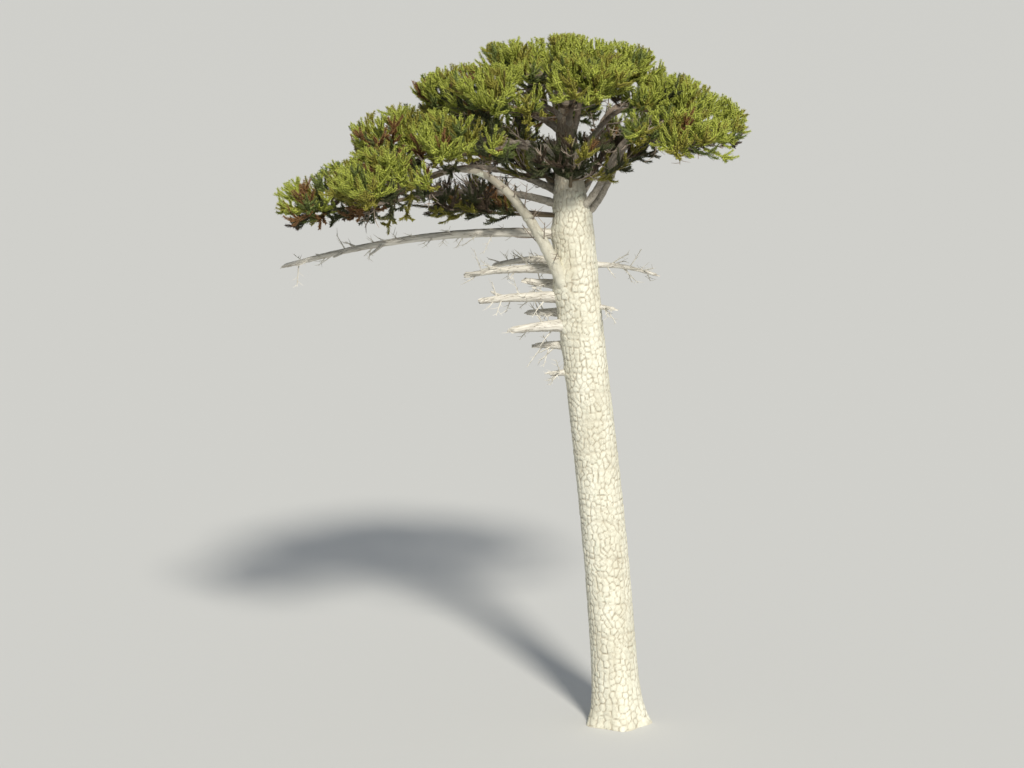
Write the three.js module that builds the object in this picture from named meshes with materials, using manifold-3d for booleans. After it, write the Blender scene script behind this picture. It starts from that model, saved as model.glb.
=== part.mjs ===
// A full-grown monkey puzzle tree: a tall pale trunk that leans a little, bare to the crown, under a
// tilted umbrella of long ribs whose ends carry clumps of rope-like shoots clad in scale leaves.
// Millimetres, +Z up. The origin is the middle of the flat cut under the trunk, at ground level.
// Seen from the front, +X is to the right, and both the lean and the longer side of the crown are to -X.
import * as THREE from "three";
import { mergeVertices } from "three/addons/utils/BufferGeometryUtils.js";
import Module from "manifold-3d";

const wasm = await Module();
wasm.setup();

// Driving dimensions of the whole tree.
const CROWN_TOP = 22700;
const TRUNK_TOP = 21300;
const CLEAR_TRUNK = 16300;
const GIRTH_RADIUS = 760;
const CROWN_BASE_RADIUS = 680;
const TIP_RADIUS = 85;
const LEAN = 1900;
const SWEEP = 220;

// Root flare: how much it widens the foot, how fast it dies away upwards, and its buttresses.
const FLARE_SHARE = 0.4;
const FLARE_HEIGHT = 620;
const BUTTRESSES = 5;
const BUTTRESS_SHARE = 0.3;

// The crown's rim: its reach from the trunk and its drop below the cap, both greatest on the -X side,
// where the boughs also crowd closer together.
const CAP_HEIGHT = 21700;
const REACH = 7800;
const REACH_TILT = 1600;
const CROWDING = 0.22;
const STAGGER = 0.618;
const DROP = 4300;
const DROP_TILT = 1450;
const DOME_POWER = 1.7;

// Faces round each kind of limb, and lengthwise steps.
const TRUNK_SIDES = 16;
const TRUNK_STEPS = 16;
const BOUGH_SIDES = 6;
const BOUGH_STEPS = 6;
const SPRAY_SIDES = 4;
const TWIG_SIDES = 3;

// Touching pieces keep this gap, and neighbouring clumps keep the wider one.
const SEAT_GAP = 0.3;
const CLUMP_GAP = 50;

// The rings of boughs from the lowest up. turn is the share of a bough's spacing that the ring is turned
// by, rise is how steeply its boughs leave the trunk, low and high are the heights that they leave from,
// tip and heel are the shares of the crown's reach where a clump ends and begins, and sprays is how many
// grow along each clump's stem.
const RINGS = [
  {
    name: "lower", count: 8, turn: 0.1, rise: 22, sprays: 7,
    tip: 0.88, heel: 0.52, low: 16600, high: 17500,
  },
  {
    name: "middle", count: 7, turn: 0.55, rise: 36, sprays: 7,
    tip: 0.68, heel: 0.38, low: 17900, high: 18800,
  },
  {
    name: "upper", count: 5, turn: 0.2, rise: 48, sprays: 7,
    tip: 0.44, heel: 0.2, low: 19100, high: 19900,
  },
  {
    name: "crest", count: 3, turn: 0.8, rise: 56, sprays: 5,
    tip: 0.2, heel: 0.07, low: 20200, high: 20700,
  },
];

// Boughs that broke off long ago, which leaves the near side of the crown open, and the stout low bough
// beside that opening, which climbs steeply close to the trunk like the arm of a fork.
const LOST_BOUGHS = ["lower_7", "middle_6"];
const FORK = { bough: "lower_6", height: 13300, radius: 300, rise: 62 };

// Foliage: the sprays along each clump's stem, and the teeth that stand out of a spray's slim core, two
// at each of its rings. A tooth is a rope-like shoot, drawn thicker than life.
const LEADER_SPRAYS = 6;
const SPRAY_LENGTH = 2250;
const LEVEL_SPACING = 340;
const SPRAY_STEPS = 5;
const SPRAY_CORE = 70;
const STEM_STEPS = 7;
const STEM_RADIUS = 66;
const SHOOT_LENGTH = 500;
const TOOTH_SHARE = 0.34;
const TIDY = 4;
const SPRAY_ROLLS = [8, -8, 46, 52, -12, 12, 62];

// Shares of a spray's length where it is tested against the limbs, and closer ones among crowded boughs.
const SPRAY_MARKS = [0.3, 0.65, 1];
const CLOSE_MARKS = [0, 0.06, 0.12, 0.2, 0.3, 0.4, 0.5, 0.6, 0.7, 0.8, 0.9, 1];

// Old foliage deep in the crown, on stems straight from the trunk, among the lower boughs: compass turn
// and height of each stem, how steeply it rises, its length, and what they share.
const INNER_CLUMPS = [
  { turn: 30, height: 17600, rise: 25, length: 3100 },
  { turn: 150, height: 17600, rise: 25, length: 3100 },
  { turn: 270, height: 17600, rise: 25, length: 3100 },
  { turn: 194, height: 16800, rise: 3, length: 5000 },
  { turn: 163, height: 16800, rise: 3, length: 4600 },
];
const INNER = { size: 0.86, sprays: 7 };

// Dead limbs under the crown: compass turn and height on the trunk, length, thickness at the foot and
// how far the end droops. The first ones are long enough to keep some dead twigs, the rest are stubs.
// Each arches up a little on its way, by a share of its length, and thins to a share of its foot.
const DEAD_LIMBS = [
  { turn: 181, height: 16200, length: 8800, radius: 170, droop: 1050, twigs: 6 },
  { turn: 146, height: 15300, length: 2600, radius: 170, droop: 350, twigs: 2 },
  { turn: 172, height: 15050, length: 3000, radius: 185, droop: 250, twigs: 2 },
  { turn: 12, height: 15200, length: 2100, radius: 110, droop: 420, twigs: 2 },
  { turn: 186, height: 14150, length: 2600, radius: 210, droop: 60, twigs: 1 },
  { turn: 200, height: 13250, length: 1900, radius: 230, droop: 60, twigs: 0 },
  { turn: 168, height: 12550, length: 1050, radius: 180, droop: 40, twigs: 0 },
  { turn: 330, height: 13900, length: 700, radius: 110, droop: 50, twigs: 0 },
  { turn: 188, height: 11700, length: 700, radius: 140, droop: 30, twigs: 0 },
  { turn: 164, height: 14500, length: 1200, radius: 200, droop: -160, twigs: 0 },
  { turn: 157, height: 13600, length: 1300, radius: 180, droop: 60, twigs: 0 },
];
const DEAD_ARCH = 0.022;
const DEAD_TAPER = 0.58;

const UP = new THREE.Vector3(0, 0, 1);
const FULL_TURN = Math.PI * 2;

const bark = new THREE.MeshStandardMaterial({ color: 0xd8d4bd, roughness: 0.9, metalness: 0 });
const limbBark = new THREE.MeshStandardMaterial({ color: 0x8f8474, roughness: 0.9, metalness: 0 });
const deadWood = new THREE.MeshStandardMaterial({ color: 0xc9c3b2, roughness: 0.95, metalness: 0 });
const foliage = new THREE.MeshStandardMaterial({ color: 0x7f862f, roughness: 0.75, metalness: 0 });

// A seeded stream of numbers from 0 to 1, the same on every run.
function randomStream(seed) {
  let state = seed >>> 0;
  return () => {
    state = (state + 0x6d2b79f5) >>> 0;
    let mixed = Math.imul(state ^ (state >>> 15), state | 1);
    mixed ^= mixed + Math.imul(mixed ^ (mixed >>> 7), mixed | 61);
    return ((mixed ^ (mixed >>> 14)) >>> 0) / 4294967296;
  };
}

function mix(low, high, share) {
  return low + (high - low) * share;
}

function heading(turn) {
  return new THREE.Vector3(Math.cos(turn), Math.sin(turn), 0);
}

// A direction that leaves the horizontal by a rise in degrees.
function climbing(turn, rise) {
  const angle = THREE.MathUtils.degToRad(rise);
  return heading(turn).multiplyScalar(Math.cos(angle)).addScaledVector(UP, Math.sin(angle));
}

// The trunk's centre line: it leans most at mid height, and is straighter at the foot and in the crown.
function trunkCentre(height) {
  const share = height / TRUNK_TOP;
  const x = -LEAN * (share - 0.04 * Math.sin(FULL_TURN * share));
  return new THREE.Vector3(x, SWEEP * Math.sin(Math.PI * share), height);
}

function trunkRadius(height) {
  if (height < CLEAR_TRUNK) return mix(GIRTH_RADIUS, CROWN_BASE_RADIUS, height / CLEAR_TRUNK);
  const share = (height - CLEAR_TRUNK) / (TRUNK_TOP - CLEAR_TRUNK);
  return mix(CROWN_BASE_RADIUS, TIP_RADIUS, Math.pow(share, 0.9));
}

function flare(height, turn) {
  const lobes = 1 + BUTTRESS_SHARE * Math.cos(BUTTRESSES * turn + 0.6);
  return 1 + FLARE_SHARE * Math.exp(-height / FLARE_HEIGHT) * lobes;
}

// The crown's rim at a compass turn, and the height of the dome at a share of that reach.
function crownReach(turn) {
  return REACH - REACH_TILT * Math.cos(turn);
}

function domeHeight(turn, share) {
  const drop = DROP - DROP_TILT * Math.cos(turn);
  return CAP_HEIGHT - drop * Math.pow(share, DOME_POWER);
}

// Leaves only the merged positions, so that the surface is one closed body.
function closed(geometry) {
  geometry.deleteAttribute("normal");
  geometry.deleteAttribute("uv");
  return mergeVertices(geometry, 1e-3);
}

function solidOf(geometry) {
  const mesh = new wasm.Mesh({
    numProp: 3,
    vertProperties: geometry.attributes.position.array,
    triVerts: new Uint32Array(geometry.index.array),
  });
  return new wasm.Manifold(mesh);
}

function geometryOf(solid) {
  const mesh = solid.getMesh();
  const geometry = new THREE.BufferGeometry();
  geometry.setAttribute("position", new THREE.BufferAttribute(mesh.vertProperties, 3));
  geometry.setIndex(new THREE.BufferAttribute(mesh.triVerts, 1));
  geometry.computeVertexNormals();
  return geometry;
}

// The trunk is a tall cylinder with level rings, its foot cut flat. swell widens it all over.
function trunkGeometry(swell) {
  const geometry = new THREE.CylinderGeometry(1, 1, 1, TRUNK_SIDES, TRUNK_STEPS);
  const place = geometry.attributes.position;
  for (let i = 0; i < place.count; i += 1) {
    const height = TRUNK_TOP * Math.pow(place.getY(i) + 0.5, 1.5);
    const inset = Math.hypot(place.getX(i), place.getZ(i));
    const turn = Math.atan2(-place.getZ(i), place.getX(i));
    const radius = inset * (trunkRadius(height) * flare(height, turn) + swell);
    const point = trunkCentre(height).addScaledVector(heading(turn), radius);
    place.setXYZ(i, point.x, point.y, point.z);
  }
  return closed(geometry);
}

// A limb's frame at a share of its curve: along it, level to its side, and up across both. The side is
// taken from the whole curve, so that it doesn't turn over where the limb stands upright.
function limbFrame(curve, share) {
  const chord = curve.getPoint(1).sub(curve.getPoint(0)).normalize();
  const level = new THREE.Vector3().crossVectors(chord, UP);
  if (level.length() < 0.2) level.set(0, 1, 0);
  const along = curve.getTangent(share);
  const over = new THREE.Vector3().crossVectors(level, along).normalize();
  const side = new THREE.Vector3().crossVectors(along, over);
  return { along, side, over };
}

// Bends an upright cylinder or cone of unit height along a curve. placeAt gives, for each of its levels
// and each corner round it, how far out from the curve and how far forward along it the corner goes.
function bent(geometry, curve, sides, steps, placeAt) {
  const place = geometry.attributes.position;
  for (let i = 0; i < place.count; i += 1) {
    const level = Math.round((place.getY(i) + 0.5) * steps);
    const inset = Math.hypot(place.getX(i), place.getZ(i));
    const point = curve.getPointAt(level / steps);
    if (inset > 1e-9) {
      const angle = Math.atan2(place.getX(i), place.getZ(i));
      const corner = (Math.round((angle / FULL_TURN) * sides) + sides) % sides;
      const { out, ahead } = placeAt(level, corner);
      const { along, side, over } = limbFrame(curve, curve.getUtoTmapping(level / steps));
      point.addScaledVector(side, (place.getX(i) / inset) * out);
      point.addScaledVector(over, (place.getZ(i) / inset) * out);
      point.addScaledVector(along, ahead);
    }
    place.setXYZ(i, point.x, point.y, point.z);
  }
  return closed(geometry);
}

// A plain limb: round, tapering by its radius function, and cut square at both ends.
function limbSolid(curve, radiusAt, sides, steps) {
  const geometry = new THREE.CylinderGeometry(1, 1, 1, sides, steps);
  const placeAt = (level) => ({ out: radiusAt(level / steps), ahead: 0 });
  return solidOf(bent(geometry, curve, sides, steps, placeAt));
}

// A rib of the umbrella: it climbs from the trunk's core and levels out at the clump's heel.
function ribCurve(start, turn, rise, heel, leaving) {
  const span = heel.clone().sub(start).length();
  const first = start.clone().addScaledVector(climbing(turn, rise), span * 0.38);
  const last = heel.clone().addScaledVector(leaving, -span * 0.34);
  return new THREE.CubicBezierCurve3(start, first, last, heel);
}

// Everything that one bough and its clump of foliage are worked out from.
function planBough(ring, index, seed) {
  const random = randomStream(seed);
  const spacing = FULL_TURN / ring.count;
  const even = spacing * (index + ring.turn + 0.3 * (random() - 0.5));
  const turn = even + CROWDING * Math.sin(even);
  const reach = crownReach(turn);
  const size = Math.pow(reach / REACH, 0.6);
  const away = heading(turn);
  const stretch = mix(0.95, 1.04, random());
  const tipShare = ring.tip * stretch;
  const heelShare = ring.heel * stretch;
  const crownAxis = trunkCentre(TRUNK_TOP);
  const tip = crownAxis.clone().setZ(domeHeight(turn, tipShare) + mix(-260, 120, random()));
  tip.addScaledVector(away, reach * tipShare);
  const fall = mix(0.1, 0.3, random()) * (tip.distanceTo(crownAxis) / REACH);
  const heel = crownAxis.clone().setZ(tip.z + fall * reach * (tipShare - heelShare));
  heel.addScaledVector(away, reach * heelShare);
  const swing = mix(-0.09, 0.09, random());
  const leaving = tip.clone().sub(heel).normalize();
  const name = ring.name + "_" + (index + 1);
  const forked = name === FORK.bough;
  const start = trunkCentre(forked ? FORK.height : mix(ring.low, ring.high, (index * STAGGER) % 1));
  const rise = forked ? FORK.rise : ring.rise;
  const rib = ribCurve(start, turn + swing, rise, heel, leaving);
  const usual = mix(88, 150, (TRUNK_TOP - start.z) / (TRUNK_TOP - CLEAR_TRUNK));
  const footRadius = forked ? FORK.radius : usual;
  return { name, seed, rib, heel, tip, leaving, size, footRadius, sprays: ring.sprays };
}

// A limb that swells into a collar at the trunk, where the rib's curve begins inside it.
function ribRadius(plan, share) {
  const collar = 1 + 0.35 * Math.exp(-share / 0.09);
  return mix(plan.footRadius, STEM_RADIUS, Math.pow(share, 0.8)) * collar;
}

// The stem of a clump goes on from its bough and turns up a little at the end.
function clumpStem(plan) {
  const start = plan.heel.clone().addScaledVector(plan.leaving, SEAT_GAP);
  const middle = start.clone().lerp(plan.tip, 0.5);
  const end = plan.tip.clone().addScaledVector(UP, 260 * plan.size);
  return new THREE.QuadraticBezierCurve3(start, middle, end);
}

// A clump's space: an oval round its stem, cut back halfway to each neighbouring clump.
function clumpSpace(plan) {
  const stem = clumpStem(plan);
  const length = stem.getLength();
  const heart = stem.getPoint(0.5).addScaledVector(UP, 180);
  const along = plan.leaving.clone();
  const across = new THREE.Vector3().crossVectors(along, UP);
  if (across.length() < 0.2) across.set(0, 1, 0);
  across.normalize();
  const over = new THREE.Vector3().crossVectors(across, along).normalize();
  const halves = [length * 0.5 + 950 * plan.size, 2400 * plan.size, 1300 * plan.size];
  return { heart, axes: [along, across, over], halves, walls: [] };
}

// Adds to each space the walls that keep it clear of its neighbours, and the crown's ceiling.
function wallOff(spaces) {
  spaces.forEach((space, i) => {
    spaces.forEach((other, j) => {
      if (i === j) return;
      const normal = other.heart.clone().sub(space.heart);
      const middle = space.heart.clone().addScaledVector(normal, 0.5);
      normal.normalize();
      middle.addScaledVector(normal, -CLUMP_GAP / 2);
      space.walls.push(new THREE.Plane().setFromNormalAndCoplanarPoint(normal, middle));
    });
    space.walls.push(new THREE.Plane(UP, -CROWN_TOP));
  });
}

function inside(space, point, radius) {
  const offset = point.clone().sub(space.heart);
  const shares = space.axes.map((axis, i) => offset.dot(axis) / (space.halves[i] - radius));
  if (Math.hypot(...shares) > 1) return false;
  return space.walls.every((wall) => wall.distanceToPoint(point) <= -radius);
}

// Limbs as balls along their centre lines, which the foliage keeps clear of.
function ballsAlong(curve, radiusAt, count) {
  const points = curve.getSpacedPoints(count);
  return points.map((centre, i) => ({ centre, radius: radiusAt(i / count) }));
}

function clearOf(balls, point, radius) {
  return balls.every((ball) => ball.centre.distanceTo(point) > ball.radius + radius + 20);
}

function fits(room, point, radius) {
  return inside(room.space, point, radius) && clearOf(room.balls, point, radius);
}

// A spray's curve: out from its root and turning up, shortened until it fits its space.
function sprayCurve(root, direction, length, room) {
  for (const share of [1, 0.85, 0.7, 0.55, 0.42]) {
    const reach = length * share;
    const end = root.clone().addScaledVector(direction, reach).addScaledVector(UP, 0.16 * reach);
    const middle = root.clone().addScaledVector(direction, reach * 0.55);
    const curve = new THREE.QuadraticBezierCurve3(root, middle, end);
    const checks = room.marks.map((s) => curve.getPoint(s));
    if (checks.every((point) => fits(room, point, SPRAY_CORE))) return curve;
  }
  return null;
}

// A tooth at a place on a spray: drawn back until it keeps to the space and clear of the clump's other
// sprays, whose balls are in room.taken. It then takes its own place there.
function toothPlace(centre, outward, along, length, lean, room, owner) {
  const others = room.taken.filter((ball) => ball.owner !== owner);
  for (const shrink of [1, 0.75, 0.5]) {
    const out = length * shrink;
    const ahead = out * lean;
    const tip = centre.clone().addScaledVector(outward, out).addScaledVector(along, ahead);
    const half = centre.clone().lerp(tip, 0.6);
    const free = fits(room, tip, 10) && fits(room, half, 60) && clearOf(others, tip, 30);
    if (!free || !clearOf(others, half, 60)) continue;
    room.taken.push({ centre: tip, radius: 30, owner }, { centre: half, radius: 70, owner });
    return { out, ahead };
  }
  return null;
}

// A spray: a pointed four-sided core that two teeth stand out of at every level, left and right, then up
// and down, and so on.
function spraySolid(spray, mostSteps, firstLevel, room) {
  const { curve, coreAt, random } = spray;
  const overall = curve.getLength();
  const steps = Math.min(mostSteps, Math.max(3, Math.round(overall / LEVEL_SPACING)));
  const longest = Math.min(room.tooth, TOOTH_SHARE * overall);
  const geometry = new THREE.ConeGeometry(1, 1, SPRAY_SIDES, steps);
  const levels = Array.from({ length: steps }, (_, level) => {
    const share = level / steps;
    const { along, side, over } = limbFrame(curve, curve.getUtoTmapping(share));
    const centre = curve.getPointAt(share);
    return Array.from({ length: SPRAY_SIDES }, (_, corner) => {
      const length = longest * mix(0.8, 1.2, random());
      const lean = mix(0.8, 1.5, random());
      const core = { out: coreAt(share), ahead: 0 };
      if (level < firstLevel || (level + corner) % 2 === 0) return core;
      const angle = (corner / SPRAY_SIDES) * FULL_TURN;
      const outward = side.clone().multiplyScalar(Math.sin(angle));
      outward.addScaledVector(over, Math.cos(angle));
      return toothPlace(centre, outward, along, length, lean, room, curve) || core;
    });
  });
  const placeAt = (level, corner) => levels[level][corner];
  return solidOf(bent(geometry, curve, SPRAY_SIDES, steps, placeAt));
}

// The sprays along a clump's stem, left and right by turns and some of them high.
function planSprays(plan, stem, room) {
  const sprays = [];
  for (let i = 0; i < plan.sprays; i += 1) {
    const random = randomStream(plan.seed * 31 + 11 + i);
    const share = mix(0.1, 0.92, (i + 0.5 * random()) / plan.sprays);
    const { along, side, over } = limbFrame(stem, share);
    const hand = i % 2 === 0 ? 1 : -1;
    const spread = THREE.MathUtils.degToRad(mix(74, 40, share) + mix(-8, 8, random()));
    const roll = THREE.MathUtils.degToRad(SPRAY_ROLLS[i] + mix(-8, 8, random()));
    const direction = along.clone().multiplyScalar(Math.cos(spread));
    direction.addScaledVector(side, hand * Math.sin(spread) * Math.cos(roll));
    direction.addScaledVector(over, Math.sin(spread) * Math.sin(roll));
    const length = SPRAY_LENGTH * plan.size * (1 - 0.4 * share) * mix(0.85, 1.15, random());
    const curve = sprayCurve(stem.getPoint(share), direction, length, room);
    const coreAt = (s) => SPRAY_CORE * (s < 0.1 ? 0.55 : 1 - 0.45 * s);
    if (curve) sprays.push({ curve, coreAt, random });
  }
  return sprays;
}

// A clump of foliage: a stem that ends as a spray, and the sprays along it.
function clumpSolid(plan, space, balls) {
  const marks = plan.rib === null ? CLOSE_MARKS : SPRAY_MARKS;
  const room = { space, balls, marks, taken: [], tooth: SHOOT_LENGTH * plan.size };
  const stem = {
    curve: clumpStem(plan),
    coreAt: (share) => STEM_RADIUS * (1 - 0.35 * share),
    random: randomStream(plan.seed * 31 + 7),
  };
  const sprays = planSprays(plan, stem.curve, room);
  for (const { curve, coreAt } of [stem, ...sprays]) {
    const cores = ballsAlong(curve, coreAt, 10).slice(2);
    room.taken.push(...cores.map((ball) => ({ ...ball, owner: curve })));
  }
  const parts = sprays.map((spray) => spraySolid(spray, SPRAY_STEPS, 1, room));
  parts.push(spraySolid(stem, STEM_STEPS, 2, room));
  return wasm.Manifold.union(parts).simplify(TIDY);
}

// The leader's clump stands on the trunk's tip.
function planLeader(seed) {
  const heel = trunkCentre(TRUNK_TOP);
  const tip = heel.clone().setZ(CROWN_TOP - SHOOT_LENGTH * 0.75);
  return { name: "leader", seed, heel, tip, leaving: UP.clone(), size: 0.8, sprays: LEADER_SPRAYS };
}

// An inner clump's stem starts inside the trunk, which later cuts it off at the bark.
function planInner(facts, index) {
  const turn = THREE.MathUtils.degToRad(facts.turn);
  const leaving = climbing(turn, facts.rise);
  const heel = trunkCentre(facts.height).addScaledVector(leaving, trunkRadius(facts.height) * 0.5);
  const tip = heel.clone().addScaledVector(leaving, facts.length);
  const name = "inner_" + (index + 1);
  const { size, sprays } = INNER;
  return { name, seed: 500 + index, rib: null, heel, tip, leaving, size, sprays };
}

// A dead limb: bare, a little crooked, broken off blunt, with a few dead twigs on the long ones.
function deadLimbSolid(facts, index) {
  const random = randomStream(900 + index);
  const turn = THREE.MathUtils.degToRad(facts.turn);
  const start = trunkCentre(facts.height);
  const away = heading(turn);
  const side = heading(turn + Math.PI / 2);
  const overall = facts.length + trunkRadius(facts.height);
  const points = [0, 0.25, 0.5, 0.75, 1].map((share) => {
    const point = start.clone().addScaledVector(away, overall * share);
    point.addScaledVector(side, share * overall * 0.09 * (random() - 0.5));
    const sag = facts.droop * share * share - DEAD_ARCH * facts.length * Math.sin(Math.PI * share);
    return point.addScaledVector(UP, -sag);
  });
  const curve = new THREE.CatmullRomCurve3(points);
  const steps = facts.length > 3000 ? 8 : 4;
  const radiusAt = (share) => facts.radius * (1 - DEAD_TAPER * share);
  const parts = [limbSolid(curve, radiusAt, SPRAY_SIDES, steps)];
  for (let i = 0; i < facts.twigs; i += 1) {
    const share = mix(0.55, 0.95, (i + 0.4) / facts.twigs);
    const frame = limbFrame(curve, share);
    const hand = i % 2 === 0 ? 1 : -1;
    const direction = frame.along.clone().multiplyScalar(0.7).addScaledVector(frame.side, hand * 0.7);
    direction.addScaledVector(UP, mix(-0.5, 0.3, random())).normalize();
    const root = curve.getPoint(share);
    const length = mix(420, 900, random());
    const end = root.clone().addScaledVector(direction, length).addScaledVector(UP, 60);
    const middle = root.clone().addScaledVector(direction, length * 0.55);
    const twig = new THREE.QuadraticBezierCurve3(root, middle, end);
    const foot = radiusAt(share) * 0.62;
    parts.push(limbSolid(twig, (s) => foot * (1 - 0.45 * s), TWIG_SIDES, 2));
  }
  return { solid: wasm.Manifold.union(parts), balls: ballsAlong(curve, radiusAt, 12) };
}

function named(name, solid, material) {
  const mesh = new THREE.Mesh(geometryOf(solid), material);
  mesh.name = name;
  return mesh;
}

// Builds every piece of the tree as its own named mesh.
function buildTree() {
  const tree = new THREE.Group();
  const trunk = solidOf(trunkGeometry(0));
  const socket = solidOf(trunkGeometry(SEAT_GAP));
  tree.add(named("trunk", trunk, bark));

  const grown = RINGS.flatMap((ring, r) =>
    Array.from({ length: ring.count }, (_, i) => planBough(ring, i, 100 * (r + 1) + i)),
  );
  const plans = grown.filter((plan) => !LOST_BOUGHS.includes(plan.name));
  const trunkLine = new THREE.CatmullRomCurve3(
    [0.6, 0.7, 0.8, 0.9, 1].map((share) => trunkCentre(TRUNK_TOP * share)),
  );
  const trunkBalls = ballsAlong(trunkLine, (s) => trunkRadius(TRUNK_TOP * mix(0.6, 1, s)), 40);
  const ribBalls = plans.map((plan) => ballsAlong(plan.rib, (s) => ribRadius(plan, s), 24));

  for (const plan of plans) {
    const radiusAt = (share) => ribRadius(plan, share);
    const rib = limbSolid(plan.rib, radiusAt, BOUGH_SIDES, BOUGH_STEPS);
    tree.add(named("bough_" + plan.name, rib.subtract(socket), limbBark));
  }

  const deadBalls = [];
  const twiggy = DEAD_LIMBS.filter((facts) => facts.twigs > 0).length;
  DEAD_LIMBS.forEach((facts, index) => {
    const made = deadLimbSolid(facts, index);
    deadBalls.push(...made.balls);
    const name = index < twiggy ? "dead_limb_" + (index + 1) : "broken_stub_" + (index + 1 - twiggy);
    tree.add(named(name, made.solid.subtract(socket), deadWood));
  });

  const clumps = [...plans, planLeader(77), ...INNER_CLUMPS.map(planInner)];
  const spaces = clumps.map(clumpSpace);
  wallOff(spaces);
  clumps.forEach((plan, i) => {
    const ownHeel = (ball) => plan.rib && ball.centre.distanceTo(plan.heel) < 260;
    const nearby = [...trunkBalls, ...ribBalls.flat(), ...deadBalls].filter((b) => !ownHeel(b));
    const solid = clumpSolid(plan, spaces[i], nearby).subtract(socket);
    tree.add(named("foliage_" + plan.name, solid, foliage));
  });
  return tree;
}

export default buildTree();
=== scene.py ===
# %% [markdown]
# # An old monkey puzzle tree
# This lesson dresses the solid model of one old monkey puzzle tree. The solid model gives each
# piece its place and size: a pale trunk, ribs of boughs under an umbrella crown, dead limbs, and
# coarse clumps of foliage. The lesson puts barked limbs over the plain ones, and grows each clump
# again by the same rule, down to single scale leaves. All sizes are in metres, and the origin is
# on the ground under the trunk.

# %% Load the solid model
import math

import bpy
import numpy as np
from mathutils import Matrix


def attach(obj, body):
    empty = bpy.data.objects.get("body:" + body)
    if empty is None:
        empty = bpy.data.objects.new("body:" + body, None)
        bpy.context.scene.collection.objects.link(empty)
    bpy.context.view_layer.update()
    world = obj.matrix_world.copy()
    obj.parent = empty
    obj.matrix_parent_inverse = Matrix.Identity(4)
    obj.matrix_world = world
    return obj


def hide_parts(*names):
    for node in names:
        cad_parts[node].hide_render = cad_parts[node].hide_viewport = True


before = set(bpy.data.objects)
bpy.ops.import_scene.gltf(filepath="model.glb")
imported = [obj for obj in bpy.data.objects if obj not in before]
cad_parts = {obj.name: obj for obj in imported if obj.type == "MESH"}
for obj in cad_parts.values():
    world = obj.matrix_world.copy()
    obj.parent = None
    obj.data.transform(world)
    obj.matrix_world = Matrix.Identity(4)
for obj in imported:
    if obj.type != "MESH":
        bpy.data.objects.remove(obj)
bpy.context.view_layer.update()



bpy.ops.object.select_all(action="DESELECT")

# %% [markdown]
# ## The tree's own measures
# A tree grows by rules, so a handful of measures place everything on it. They are the solid
# model's own: how high the trunk is and how it leans, how wide its foot flares, and how far the
# crown reaches. The crown is lopsided, longer and lower on the left, which the two tilts say.

# %% Measures of trunk and crown
CROWN_TOP = 22.7
TRUNK_TOP = 21.3
CLEAR_TRUNK = 16.3
GIRTH_RADIUS = 0.76
CROWN_BASE_RADIUS = 0.68
TIP_RADIUS = 0.085
TIP_TAPER = 0.9
LEAN = 1.9
LEAN_BEND = 0.04
SWEEP = 0.22
FLARE_SHARE = 0.4
FLARE_HEIGHT = 0.62
BUTTRESSES = 5
BUTTRESS_SHARE = 0.3
BUTTRESS_TURN = 0.6
CAP_HEIGHT = 21.7
REACH = 7.8
REACH_TILT = 1.6
CROWDING = 0.22
STAGGER = 0.618
DROP = 4.3
DROP_TILT = 1.45
DOME_POWER = 1.7
UP = np.array([0.0, 0.0, 1.0])
FULL_TURN = 2 * math.pi


# %% Measures of the boughs and their clumps
def table(words, *rows):
    return [dict(zip(words.split(), row)) for row in rows]


RINGS = table(
    "name count turn rise sprays tip heel low high",
    ("lower", 8, 0.1, 22, 7, 0.88, 0.52, 16.6, 17.5),
    ("middle", 7, 0.55, 36, 7, 0.68, 0.38, 17.9, 18.8),
    ("upper", 5, 0.2, 48, 7, 0.44, 0.2, 19.1, 19.9),
    ("crest", 3, 0.8, 56, 5, 0.2, 0.07, 20.2, 20.7),
)
LOST_BOUGHS = ("lower_7", "middle_6")
FORK = {"bough": "lower_6", "height": 13.3, "radius": 0.3, "rise": 62}
LEADER_SPRAYS = 6
SPRAY_LENGTH = 2.25
SPRAY_CORE = 0.07
STEM_RADIUS = 0.066
SHOOT_LENGTH = 0.5
SPRAY_ROLLS = (8, -8, 46, 52, -12, 12, 62)
INNER_CLUMPS = (
    (30, 17.6, 25, 3.1), (150, 17.6, 25, 3.1), (270, 17.6, 25, 3.1),
    (194, 16.8, 3, 5.0), (163, 16.8, 3, 4.6),
)  # fmt: skip
INNER = {"size": 0.86, "sprays": 7}
SPRAY_MARKS = np.array([0.3, 0.65, 1.0])
CLOSE_MARKS = np.array([0, 0.06, 0.12, 0.2, 0.3, 0.4, 0.5, 0.6, 0.7, 0.8, 0.9, 1.0])
SEAT_GAP = 0.0003
CLUMP_GAP = 0.05
DEAD_LIMBS = table(
    "turn height length radius droop twigs",
    (181, 16.2, 8.8, 0.17, 1.05, 6),
    (146, 15.3, 2.6, 0.17, 0.35, 2),
    (172, 15.05, 3, 0.185, 0.25, 2),
    (12, 15.2, 2.1, 0.11, 0.42, 2),
    (186, 14.15, 2.6, 0.21, 0.06, 1),
    (200, 13.25, 1.9, 0.23, 0.06, 0),
    (168, 12.55, 1.05, 0.18, 0.04, 0),
    (330, 13.9, 0.7, 0.11, 0.05, 0),
    (188, 11.7, 0.7, 0.14, 0.03, 0),
    (164, 14.5, 1.2, 0.2, -0.16, 0),
    (157, 13.6, 1.3, 0.18, 0.06, 0),
)
DEAD_ARCH = 0.022
DEAD_TAPER = 0.58
print("boughs:", sum(ring["count"] for ring in RINGS), "dead limbs:", len(DEAD_LIMBS))

# %% [markdown]
# ## Numbers that look random and never change
# No two boughs are alike, yet the tree has to come out the same each time. A stream of numbers
# that starts from a seed does both. This one gives the same numbers as the solid model's own
# stream, so that the boughs here lie exactly where the solid ones do.


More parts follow.
